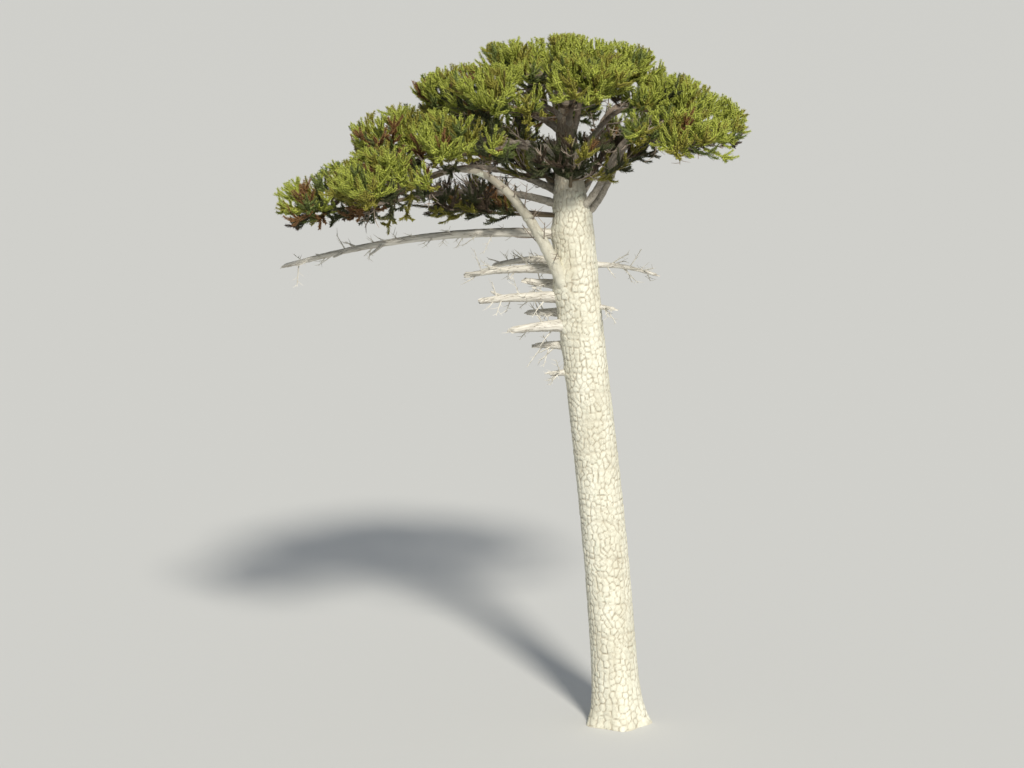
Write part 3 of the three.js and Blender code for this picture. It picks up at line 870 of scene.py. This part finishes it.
def splinter(limb, line, spread, seed):
    """Each splinter breaks off at its own length, and beyond that the wood is torn away."""
    place = corners_of(limb)
    tip = line.at(1.0)
    ahead, side, over = line.frame(1.0)
    behind = (tip - place) @ ahead
    outward = place - tip + behind[:, None] * ahead
    angle = np.arctan2(outward @ side, outward @ over) % FULL_TURN
    torn = np.random.default_rng(seed).uniform(0, spread, SPLINTERS)
    own = torn[(angle / FULL_TURN * SPLINTERS).astype(int) % SPLINTERS]
    near = norms(place - tip) < spread + 0.5
    pull = np.where(near, np.clip((own - behind) / (TEAR_SLOPE * spread), 0, 1), 0)
    shorter = TEAR_CUT * own * pull * (behind < 0.004)
    place -= outward * (TEAR_SQUEEZE * pull)[:, None] + ahead * shorter[:, None]
    move_corners(limb, place)


# %% The dead limbs, each with its twigs joined on
DEAD_KNOBS = 0.03
DEAD_COLLAR, DEAD_COLLAR_LENGTH = 0.5, 0.5
dead_lines = []
twiggy = sum(limb["twigs"] > 0 for limb in DEAD_LIMBS)
for index, limb in enumerate(DEAD_LIMBS):
    line, twigs = plan_dead_limb(limb, index)
    dead_lines.append((line, limb["radius"]))
    name = f"dead_limb_{index + 1}" if index < twiggy else f"broken_stub_{index + 1 - twiggy}"
    foot = 0.6 * float(trunk_radius(limb["height"])) / line.length

    def radius_at(share, radius=limb["radius"], length=line.length):
        collar = 1 + DEAD_COLLAR * np.exp(-share * length / DEAD_COLLAR_LENGTH)
        return dead_radius(radius, share) * collar

    pieces = [bent_pole(bough_pole, "bare_" + name, line, radius_at, foot)]
    roughen(pieces[0], DEAD_KNOBS)
    splinter(pieces[0], line, LIMB_TEAR, 40 + index)
    for number, (twig, thick) in enumerate(twigs):
        pieces.append(bent_pole(twig_pole, "part", twig, lambda s, r=thick: r * (1 - 0.55 * s)))
        splinter(pieces[-1], twig, TWIG_TEAR, 60 + 10 * index + number)
    pick(*pieces)
    bpy.ops.object.join()
    dress(pieces[0], dead_wood, [name])
print("dead limbs:", twiggy, "stubs:", len(DEAD_LIMBS) - twiggy)
bpy.data.objects.remove(twig_pole)
bpy.data.objects.remove(bough_pole)

# %% [markdown]
# ## Room for each clump
# A clump of foliage fills an oval round its stem, and stops halfway to its neighbours. Inside, it
# keeps clear of the trunk and of every bough. These are the solid model's rules for its coarse
# clumps, and they hold for the fine ones too, so the crown has the same reach and the same gaps.
# Only its ceiling is finer here: it is domed, so that no shoot looks clipped.

# %% Stems, ovals and walls
STEM_LIFT = 0.26
HEART_LIFT = 0.18
END_ROOM, SIDE_ROOM, HIGH_ROOM = 0.95, 2.4, 1.3
clumps = [dict(plan) for plan in plans]
heel = trunk_centre(TRUNK_TOP)
clumps.append({
    "name": "leader", "ring": "crest", "seed": 77, "rib": None, "size": 0.8,
    "heel": heel, "leaving": UP, "sprays": LEADER_SPRAYS,
    "tip": heel * (1, 1, 0) + UP * (CROWN_TOP - SHOOT_LENGTH * 0.75),
})  # fmt: skip
for index, (turn, height, rise, length) in enumerate(INNER_CLUMPS):
    leaving = aim(math.radians(turn), math.radians(rise))
    heel = trunk_centre(height) + leaving * float(trunk_radius(height)) * 0.5
    clumps.append({
        "name": f"inner_{index + 1}", "ring": "inner", "seed": 500 + index, "rib": None,
        "heel": heel, "leaving": leaving, "tip": heel + leaving * length, **INNER,
    })  # fmt: skip
for clump in clumps:
    size, start = clump["size"], clump["heel"] + clump["leaving"] * SEAT_GAP
    ends = (start, (start + clump["tip"]) / 2, clump["tip"] + UP * STEM_LIFT * size)
    clump["points"], clump["stem"] = ends, Line(bezier(*ends))
    across = unit(level_across(clump["leaving"]))
    clump["axes"] = np.array([clump["leaving"], across, unit(np.cross(across, clump["leaving"]))])
    along = clump["stem"].length / 2 + END_ROOM * size
    clump["halves"] = np.array([along, SIDE_ROOM * size, HIGH_ROOM * size])
    clump["heart"] = clump["stem"].at(0.5) + UP * HEART_LIFT
for clump in clumps:
    toward = np.array([o["heart"] - clump["heart"] for o in clumps if o is not clump])
    normals = unit(toward)
    walls = np.sum(normals * (clump["heart"] + toward / 2), axis=1) - CLUMP_GAP / 2
    clump["normals"] = np.vstack([normals, UP])
    clump["walls"] = np.append(walls, CROWN_TOP)

# %% The limbs as rows of balls
OWN_BALLS = 0.26
heights = TRUNK_TOP * mix(0.6, 1, np.linspace(0, 1, 41))
balls = [np.column_stack([trunk_centre(heights), trunk_radius(heights)])]
for plan in plans:
    rib, shares = plan["rib"], np.linspace(0, 1, 25)
    balls.append(np.column_stack([rib.at(rib.even(shares)), rib_radius(plan, shares)]))
for line, radius in dead_lines:
    shares = np.linspace(0, 1, 13)
    balls.append(np.column_stack([line.at(line.even(shares)), dead_radius(radius, shares)]))
balls = np.vstack(balls)
for clump in clumps:
    own = (norms(balls[:, :3] - clump["heel"]) < OWN_BALLS) & bool(clump["rib"])
    near = norms(balls[:, :3] - clump["heart"]) < clump["halves"].max() + 1
    clump["balls"] = balls[near & ~own]
print("balls:", len(balls), "clumps:", len(clumps))

# %% Does a point fit?
CEILING_CURVE = 0.055
BALL_GAP = 0.02


def is_clear(clump, points, radius):
    if np.any(points @ clump["normals"].T - clump["walls"] > -radius):
        return False
    gap = norms(points[:, None] - clump["balls"][None, :, :3])
    return bool(np.all(gap > clump["balls"][:, 3] + radius + BALL_GAP))


def fits(clump, points, radius):
    from_axis = points - trunk_centre(TRUNK_TOP)
    ceiling = CROWN_TOP - CEILING_CURVE * (from_axis[:, 0] ** 2 + from_axis[:, 1] ** 2)
    if np.any(points[:, 2] > ceiling - radius):
        return False
    offset = (points - clump["heart"]) @ clump["axes"].T / (clump["halves"] - radius)
    if np.any(np.sum(offset**2, axis=1) > 1):
        return False
    return is_clear(clump, points, radius)


# %% [markdown]
# ## Sprays, side sprays and shoots
# Along each stem grow sprays, left and right by turns and some of them high, exactly as in the
# solid model. There, a spray's teeth stand for its shoots. Here the rule goes on: each spray
# bears side sprays in pairs, left and right and then up and down, and each of those bears
# rope-like shoots in the same way. Everything turns up a little at its end, and is drawn back
# until it fits its room.


# %% Grow something from a line
def upturned(root, direction, reach, lift=0.12):
    return root, root + direction * reach * MIDWAY, root + direction * reach + UP * lift * reach


def grown(clump, root, direction, length, lift, radius, tries, marks=SPRAY_MARKS, test=fits):
    for share in tries:
        ends = upturned(root, direction, length * share, lift)
        if test(clump, bezier(*ends)(marks), radius):
            return ends
    return None


# %% The sprays of a clump
LEAN_RANGE = (74, 40)
WOBBLE = (-8, 8)
SPRAY_PLACES = (0.1, 0.92)
SPRAY_RANGE = (0.85, 1.15)
SPRAY_SHORTENING, SPRAY_LIFT = 0.4, 0.16
SPRAY_TRIES = (1, 0.85, 0.7, 0.55, 0.42)


def sprays_of(clump):
    found = []
    for i in range(clump["sprays"]):
        draw = number_stream(clump["seed"] * 31 + 11 + i)
        share = mix(*SPRAY_PLACES, (i + 0.5 * draw()) / clump["sprays"])
        along, side, over = clump["stem"].frame(share)
        spread = math.radians(mix(*LEAN_RANGE, share) + mix(*WOBBLE, draw()))
        roll = math.radians(SPRAY_ROLLS[i] + mix(*WOBBLE, draw()))
        hand = 1 if i % 2 == 0 else -1
        flat, high = math.sin(spread) * math.cos(roll), math.sin(spread) * math.sin(roll)
        direction = along * math.cos(spread) + side * hand * flat + over * high
        length = SPRAY_LENGTH * clump["size"] * (1 - SPRAY_SHORTENING * share)
        length *= mix(*SPRAY_RANGE, draw())
        root = clump["stem"].at(share)
        marks = CLOSE_MARKS if clump["ring"] == "inner" else SPRAY_MARKS
        ends = grown(clump, root, direction, length, SPRAY_LIFT, SPRAY_CORE, SPRAY_TRIES, marks)
        if ends:
            found.append(ends)
    return found


# %% Pairs of side sprays or shoots along a line
PAIR_SPACING = 0.36
PAIR_WOBBLE = (-0.35, 0.35)
PAIR_FORWARD = (0.9, 1.8)
PAIR_RANGE = (0.75, 1.25)
PAIR_SHORTENING = 0.3
LAST_PAIR = 0.98
PAIR_TRIES = (1, 0.75, 0.5)
SHOOT_ROOM = 0.05


def pairs_along(clump, ends, longest, first, lift, draw, test=fits):
    line = Line(bezier(*ends))
    levels = max(2, round(line.length * (1 - first) / PAIR_SPACING))
    found = []
    for level in range(levels):
        share = mix(first, LAST_PAIR, (level + draw()) / levels)
        along, side, over = line.frame(share)
        root = line.at(share)
        for corner in (0, 2) if level % 2 else (1, 3):
            angle = (corner + mix(*PAIR_WOBBLE, draw())) * math.pi / 2
            outward = side * math.sin(angle) + over * math.cos(angle)
            direction = unit(outward + along * mix(*PAIR_FORWARD, draw()))
            length = longest * mix(*PAIR_RANGE, draw()) * (1 - PAIR_SHORTENING * share)
            made = grown(clump, root, direction, length, lift, SHOOT_ROOM, PAIR_TRIES, test=test)
            if made:
                found.append(made)
    return found


# %% [markdown]
# The boughs keep a few old sprays too, which hang below the lowest clumps, and dead twigs where
# others have died back. The dead limbs keep bleached twigs.
#
# Every spray is given one of the crown's plain leaf tones. Which one depends on how much sun the
# spray would get, so the tones carry painted light and shade. The sunny dome and the right side
# get yellow-green and olive. That is partly young growth and partly a painted highlight. Deeper
# under the dome, under each clump's heart and towards the left, the sprays get deep green and
# brown. That is older foliage that has had less light, and also a painted shade. Some are rusty
# just before they drop, most of all on the crown's low side, on the left. Many of the lowest have
# dropped their leaves already and are bare.

# %% Leaf tones, and which spray gets which
TONES = {
    "yellow_green": (0.45, 0.50, 0.078),
    "olive": (0.32, 0.30, 0.042),
    "green": (0.16, 0.205, 0.045),
    "deep_green": (0.062, 0.075, 0.022),
    "brown": (0.075, 0.050, 0.028),
    "rust": (0.25, 0.125, 0.04),
}
BARE, BLEACHED = len(TONES), len(TONES) + 1
SUN_DEPTH, SUN_UNDER, SUN_SIDE, SUN_CHANCE = 0.34, 0.3, 0.018, 0.16
RUSTY_SIDE = (2.5, 7.5)
RUSTY_SHARE = 0.13


def depth_under_dome(place):
    offset = place - trunk_centre(TRUNK_TOP)
    turn = math.atan2(offset[1], offset[0])
    return dome_at(turn, min(math.hypot(offset[0], offset[1]) / reach_at(turn), 1)) - place[2]


def tone_for(clump, place, draw):
    # sun is painted light and shade. It drops deep under the dome and below the clump's heart, and
    # it rises towards the right.
    underside_shade = SUN_UNDER * max(0.0, clump["heart"][2] + 0.1 - place[2])
    sunward = SUN_SIDE * (place[0] + LEAN)
    sun = 0.5 - SUN_DEPTH * depth_under_dome(place) - underside_shade + sunward + draw() * SUN_CHANCE
    sun = float(np.clip(sun, 0, 1))
    # low is the painted shade. It deals out the dark deep green and brown, some of the rust, and
    # bare twigs.
    low = max(0.0, 0.5 - sun)
    rusty = RUSTY_SHARE * np.interp(-place[0], RUSTY_SIDE, (0, 1))
    shares = np.array([
        2.2 * sun**1.6, 0.55, 0.5 * (1 - abs(2 * sun - 1)), 1.1 * (1 - sun) ** 2,
        2.2 * low**1.2, 0.012 + 0.3 * low + rusty, 1.2 * low,
    ])  # fmt: skip
    return int(np.searchsorted(np.cumsum(shares) / shares.sum(), draw()))


# %% Grow the whole crown
SIDE_SPRAY = {"longest": 1.05, "lift": 0.3, "bare": 0.06, "thick": 0.026}
SHOOT = {"longest": 0.56, "first": 0.12, "lift": 0.35, "bare": 0.02, "thick": 0.017}
STEM = {"bare": 0.45, "first": 0.25, "thick": STEM_RADIUS}
SPRAY = {"bare": 0.2, "first": 0.1, "thick": SPRAY_CORE * 0.6}
ropes = []


def add_shoots(clump, spray, first, lift, tone, draw, test=fits):
    for shoot in pairs_along(clump, spray, SHOOT["longest"], first, lift, draw, test):
        ropes.append((*shoot, SHOOT["bare"], tone, SHOOT["thick"], 2))


for clump in clumps:
    draw = number_stream(clump["seed"] * 77 + 5)
    longest = SIDE_SPRAY["longest"] * clump["size"]
    for ends, kind in [(clump["points"], STEM)] + [(ends, SPRAY) for ends in sprays_of(clump)]:
        ropes.append((*ends, kind["bare"], tone_for(clump, ends[2], draw), kind["thick"], 0))
        for side in pairs_along(clump, ends, longest, kind["first"], SIDE_SPRAY["lift"], draw):
            tone = tone_for(clump, side[2], draw)
            ropes.append((*side, SIDE_SPRAY["bare"], tone, SIDE_SPRAY["thick"], 1))
            add_shoots(clump, side, SHOOT["first"], SHOOT["lift"], tone, draw)
print("ropes in the clumps:", len(ropes))


# %% A twig without leaves, and its forks
# How thick such a twig is, how thick its forks are, and how long the longest of them is.
TWIG_MEASURES = {BARE: (0.024, 0.013, 0.45), BLEACHED: (0.026, 0.012, 0.3)}
FORK_SHARES = (0.35, 0.55, 0.72, 0.88)
FORK_TILT = (-0.7, 0.7)
FORK_RANGE = (0.45, 1.0)
FORK_FORWARD = 0.9


def add_twig(twig, tone, draw):
    thick, fork_thick, longest = TWIG_MEASURES[tone]
    ropes.append((*twig, 1.0, tone, thick, 1))
    line = Line(bezier(*twig))
    for k, share in enumerate(FORK_SHARES):
        along, side, over = line.frame(share)
        outward = side * (1 if k % 2 else -1) + over * mix(*FORK_TILT, draw())
        reach = longest * mix(*FORK_RANGE, draw())
        fork = upturned(line.at(share), unit(outward + along * FORK_FORWARD), reach)
        ropes.append((*fork, 1.0, tone, fork_thick, 2))


# %% Old sprays and dead twigs along the boughs
OLD_PER_METRE = 2.2
OLD_FORWARD = (0.4, 1.2)
OLD_RANGE = (0.5, 1.3)
OLD_SPRAY = {"longer": 1.2, "bare": 0.15}


def old_growth(clump, line, between, drop, leafy_share, draw):
    count = round(line.length * OLD_PER_METRE)
    for i in range(count):
        share = float(line.even(mix(*between, (i + draw()) / count)))
        along, side, _ = line.frame(share)
        outward = side * (1 if i % 2 else -1) + UP * mix(*drop, draw())
        direction = unit(outward + along * mix(*OLD_FORWARD, draw()))
        root, reach = line.at(share), mix(*OLD_RANGE, draw())
        longest = OLD_SPRAY["longer"] * reach
        spray = grown(clump, root, direction, longest, 0.1, SHOOT_ROOM, (1, 0.7), test=is_clear)
        if spray and draw() < leafy_share(share):
            tone = tone_for(clump, spray[2], draw)
            ropes.append((*spray, OLD_SPRAY["bare"], tone, SIDE_SPRAY["thick"], 1))
            add_shoots(clump, spray, 0.2, 0.3, tone, draw, is_clear)
        else:
            add_twig(upturned(root, direction, reach), BARE, draw)


for plan, clump in zip(plans, clumps):
    draw = number_stream(plan["seed"] * 13 + 3)
    low_down = plan["ring"] in ("lower", "middle")
    old_growth(clump, plan["rib"], (0.3, 1.0), (-0.6, 0.5), lambda share: share * low_down, draw)
    if plan["ring"] == "lower":
        old_growth(clump, clump["stem"], (0.05, 0.9), (-1.4, -0.5), lambda share: 0.8, draw)
print("ropes with the old growth:", len(ropes))

# %% Bleached twigs along the dead limbs
BLEACHED_PER_METRE = 3.2
FIRST_TWIG, LAST_TWIG = 0.8, 0.4
BLEACHED_FORWARD, BLEACHED_RANGE, BLEACHED_LIFT = (0.2, 1.3), (0.25, 0.85), (-0.3, 0.2)
for index, (line, radius) in enumerate(dead_lines):
    draw = number_stream(1300 + index)
    count = round(line.length * BLEACHED_PER_METRE)
    for i in range(count):
        share = mix(FIRST_TWIG, line.length - LAST_TWIG, (i + draw()) / count) / line.length
        share = float(line.even(share))
        along, side, over = line.frame(share)
        angle = draw() * FULL_TURN
        outward = side * math.sin(angle) + over * math.cos(angle)
        direction = unit(outward + along * mix(*BLEACHED_FORWARD, draw()))
        reach = mix(*BLEACHED_RANGE, draw())
        twig = upturned(line.at(share), direction, reach, mix(*BLEACHED_LIFT, draw()))
        add_twig(twig, BLEACHED, draw)

# %% All the ropes as arrays
rope_ends = np.array([rope[:3] for rope in ropes])
rope_bare, rope_tone, rope_thick, rope_order = map(np.array, list(zip(*ropes))[3:])
rope_length = norms(np.diff(rope_ends, axis=1)).sum(axis=1)
print("ropes:", len(ropes), "metres in all:", round(float(rope_length.sum())))


# %% Points along many ropes at once
def on_ropes(which, share):
    a, b, c = rope_ends[which].transpose(1, 0, 2)
    s = share[:, None]
    point = a * (1 - s) ** 2 + b * 2 * s * (1 - s) + c * s**2
    along = unit((b - a) * (1 - s) + (c - b) * s)
    side = unit(np.cross(along, UP) + np.array([1e-6, 0, 0]))
    return point, along, side, np.cross(side, along)


# %% [markdown]
# ## Scale leaves
# A monkey puzzle's shoots are ropes of stiff, sharp scales that overlap like tiles and spiral
# round. Each scale here is a thin wedge with four faces, wide at its keeled foot, that runs out
# to a point. Three of them stand at each station, and the stations turn by the golden angle. The
# scales are about twice as long as real ones, because real ones would be several million.

# %% Where the scales stand
STATION_GAP = 0.052
LEAF_LENGTH = 0.105
LEAF_WIDTH = 0.056
LEAN_OUT = (0.5, 0.8)
LEAF_TURN = (-0.25, 0.25)
LEAF_RANGE = (0.85, 1.15)
KEEL_DEPTH = 0.16
GOLDEN_ANGLE = 2.39996
leafy = np.flatnonzero(rope_tone < BARE)
stations = np.maximum(3, np.round(rope_length * (1 - rope_bare) / STATION_GAP)).astype(int)
which = np.repeat(leafy, stations[leafy])
first_of = np.repeat(np.cumsum(stations[leafy]) - stations[leafy], stations[leafy])
number = np.arange(len(which)) - first_of
share = rope_bare[which] + (1 - rope_bare[which]) * (number + 0.4) / stations[which]
point, along, side, over = on_ropes(which, share)
print("stations:", len(which), "scales:", 3 * len(which))


# %% Build the scales' corners
def scales(third):
    scatter = np.random.default_rng(500 + third)
    jitter = scatter.uniform(*LEAF_TURN, len(which))
    angle = number * GOLDEN_ANGLE + third * FULL_TURN / 3 + which * 1.7 + jitter
    outward = side * np.cos(angle)[:, None] + over * np.sin(angle)[:, None]
    sideways = np.cross(along, outward)
    taper = (1.05 - 0.35 * share**3) * scatter.uniform(*LEAF_RANGE, len(which))
    length = (LEAF_LENGTH * taper)[:, None]
    half = (LEAF_WIDTH * taper)[:, None] / 2
    foot = point + outward * (0.75 * rope_thick[which] * (1 - 0.45 * share))[:, None]
    lean = scatter.uniform(*LEAN_OUT, (len(which), 1))
    tip = foot + (outward * lean + along * np.sqrt(1 - lean**2)) * length
    left = foot + along * 0.12 * length - sideways * half
    right = foot + along * 0.12 * length + sideways * half
    keel = foot - along * 0.1 * length + outward * KEEL_DEPTH * length
    return np.stack([left, right, keel, tip], axis=1)


corners = np.concatenate([scales(third) for third in range(3)])
owners = np.tile(which, 3)
print("highest scale:", round(float(corners[..., 2].max()), 2), "m")


# %% A joined mesh from arrays
def joined_mesh(name, points, triangles):
    mesh = bpy.data.meshes.new(name)
    mesh.vertices.add(len(points))
    mesh.vertices.foreach_set("co", points.astype(np.float32).ravel())
    mesh.loops.add(triangles.size)
    mesh.loops.foreach_set("vertex_index", triangles.astype(np.int32).ravel())
    mesh.polygons.add(len(triangles))
    mesh.polygons.foreach_set("loop_start", np.arange(0, triangles.size, 3, dtype=np.int32))
    mesh.update(calc_edges=True)
    piece = bpy.data.objects.new(name, mesh)
    bpy.context.scene.collection.objects.link(piece)
    return piece


# %% [markdown]
# ## Leaf materials
# A scale leaf is leathery, with a soft waxy shine. The colour is one plain tone for each piece.
# Roughness and a fine grain vary over it, so that the scales don't all shine alike.


# %% One material for each tone
def leaf_material(name, colour):
    material, tree, shader = start_material("leaf_" + name)
    shader["Base Color"].default_value = (*colour, 1)
    fine = {"Place": own_place(tree), "Size": 7.0, "Contrast": 3.0}
    wax = add_node(tree, "ShaderNodeGroup", fine, node_tree=patches).outputs["Patches"]
    finish_surface(tree, shader, wax, (0.42, 0.75), wax, 0.3, 0.004)
    return material


# %% The leaf pieces
MOST_SCALES = 47500
foliage_nodes = ["foliage_" + clump["name"] for clump in clumps]
wedge = np.array([[0, 1, 3], [1, 2, 3], [2, 0, 3], [0, 2, 1]])
for tone, (tone_name, colour) in enumerate(TONES.items()):
    material = leaf_material(tone_name, colour)
    chosen = corners[rope_tone[owners] == tone]
    parts = np.array_split(chosen, max(1, math.ceil(len(chosen) / MOST_SCALES)))
    for part, some in enumerate(parts, 1):
        triangles = (wedge + 4 * np.arange(len(some))[:, None, None]).reshape(-1, 3)
        leaves = joined_mesh(f"leaves_{tone_name}_{part}", some.reshape(-1, 3), triangles)
        dress(leaves, material, foliage_nodes, smooth=None)
        print(leaves.name, 4 * len(some))
print("leaf triangles:", 4 * len(corners))

# %% [markdown]
# ## Twigs
# Inside its scales each rope has a thin woody core, which shows where the scales have dropped.
# The cores are tapering tubes, and a thick stem has more sides than a thin shoot.


# %% Tubes along many ropes at once
def tubes(chosen, sides, steps):
    count = len(chosen)
    share = np.tile(np.linspace(0, 0.985, steps + 1), count)
    owner = np.repeat(chosen, steps + 1)
    point, _, side, over = on_ropes(owner, share)
    radius = rope_thick[owner] * (1 - 0.6 * share)
    angle = np.arange(sides) * FULL_TURN / sides
    ring = side[:, None] * np.cos(angle)[:, None] + over[:, None] * np.sin(angle)[:, None]
    points = (point[:, None] + ring * radius[:, None, None]).reshape(count, (steps + 1) * sides, 3)
    i = np.arange(steps)[:, None] * sides
    j = np.arange(sides)[None]
    a, b = i + j, i + (j + 1) % sides
    quads = np.stack([a, b, b + sides, a, b + sides, a + sides], axis=-1).reshape(-1, 3)
    fan = np.array([[0, k + 1, k] for k in range(1, sides - 1)])
    cap = np.array([[0, k, k + 1] for k in range(1, sides - 1)]) + steps * sides
    firsts = (steps + 1) * sides * np.arange(count)
    faces = np.vstack([quads, fan, cap]) + firsts[:, None, None]
    return points.reshape(-1, 3), faces.reshape(-1, 3)


# %% The twig pieces
TWIG_SIZES = (("stems", 0, 8, 9), ("side_twigs", 1, 4, 4), ("shoot_twigs", 2, 3, 2))
TWIG_KINDS = (
    ("leafy", 0, BARE, twig_bark, "limb_bark"),
    ("bare", BARE, BLEACHED, bare_twig_bark, "dead_wood"),
    ("bleached", BLEACHED, BLEACHED + 1, bleached_twig, "dead_wood"),
)
for kind, first, beyond, finish, slot in TWIG_KINDS:
    for size, order, sides, steps in TWIG_SIZES:
        right_kind = (rope_tone >= first) & (rope_tone < beyond)
        chosen = np.flatnonzero((rope_order == order) & right_kind)
        if len(chosen):
            twigs = joined_mesh(kind + "_" + size, *tubes(chosen, sides, steps))
            dress(twigs, finish, foliage_nodes, smooth=60)
            print(twigs.name, len(twigs.data.polygons))

# %% [markdown]
# ## Floor, light and camera
# The tree stands on a plain pale floor under a plain pale sky. The sun comes from the front right,
# high up, and is large enough for soft edges. The camera looks a little down on the crown from
# far away with a long lens, and the tree fills the picture's height.

# %% Floor
bpy.ops.object.select_all(action="DESELECT")
bpy.ops.mesh.primitive_plane_add(size=4000, location=(0, 0, -0.002))
floor = bpy.context.object
floor.name = "floor"
floor_finish, _, floor_shader = start_material("pale_floor")
floor_shader["Base Color"].default_value = (0.62, 0.62, 0.60, 1)
floor_shader["Roughness"].default_value = 0.9
floor.data.materials.append(floor_finish)

# %% Light
world = bpy.data.worlds.new("pale_sky")
bpy.context.scene.world = world
world.use_nodes = True
sky = world.node_tree.nodes["Background"].inputs
sky["Color"].default_value, sky["Strength"].default_value = (0.80, 0.86, 0.94, 1), 0.4
bpy.context.scene.view_settings.view_transform = "Standard"
bpy.ops.object.light_add(type="SUN", location=(20, -30, 50))
key = bpy.context.object
key.data.energy = 3.6
key.data.angle = math.radians(9)
key.data.color = (1.0, 0.96, 0.88)
key.rotation_euler = (math.radians(52), 0, math.radians(14))

# %% Camera
TARGET = np.array([-3.5, 0.0, 11.35])
DISTANCE = 90.0
ELEVATION = math.radians(10)
SENSOR_WIDTH = 36
SEEN_WIDTH = 33.2
bpy.ops.object.camera_add()
camera = bpy.context.object
back = np.array([0, -math.cos(ELEVATION), math.sin(ELEVATION)])
camera.location = tuple(TARGET + back * DISTANCE)
camera.rotation_euler = (math.pi / 2 - ELEVATION, 0, 0)
camera.data.lens = SENSOR_WIDTH * DISTANCE / SEEN_WIDTH
camera.data.clip_end = 3000
bpy.context.scene.camera = camera
print("lens:", round(camera.data.lens, 1), "mm")
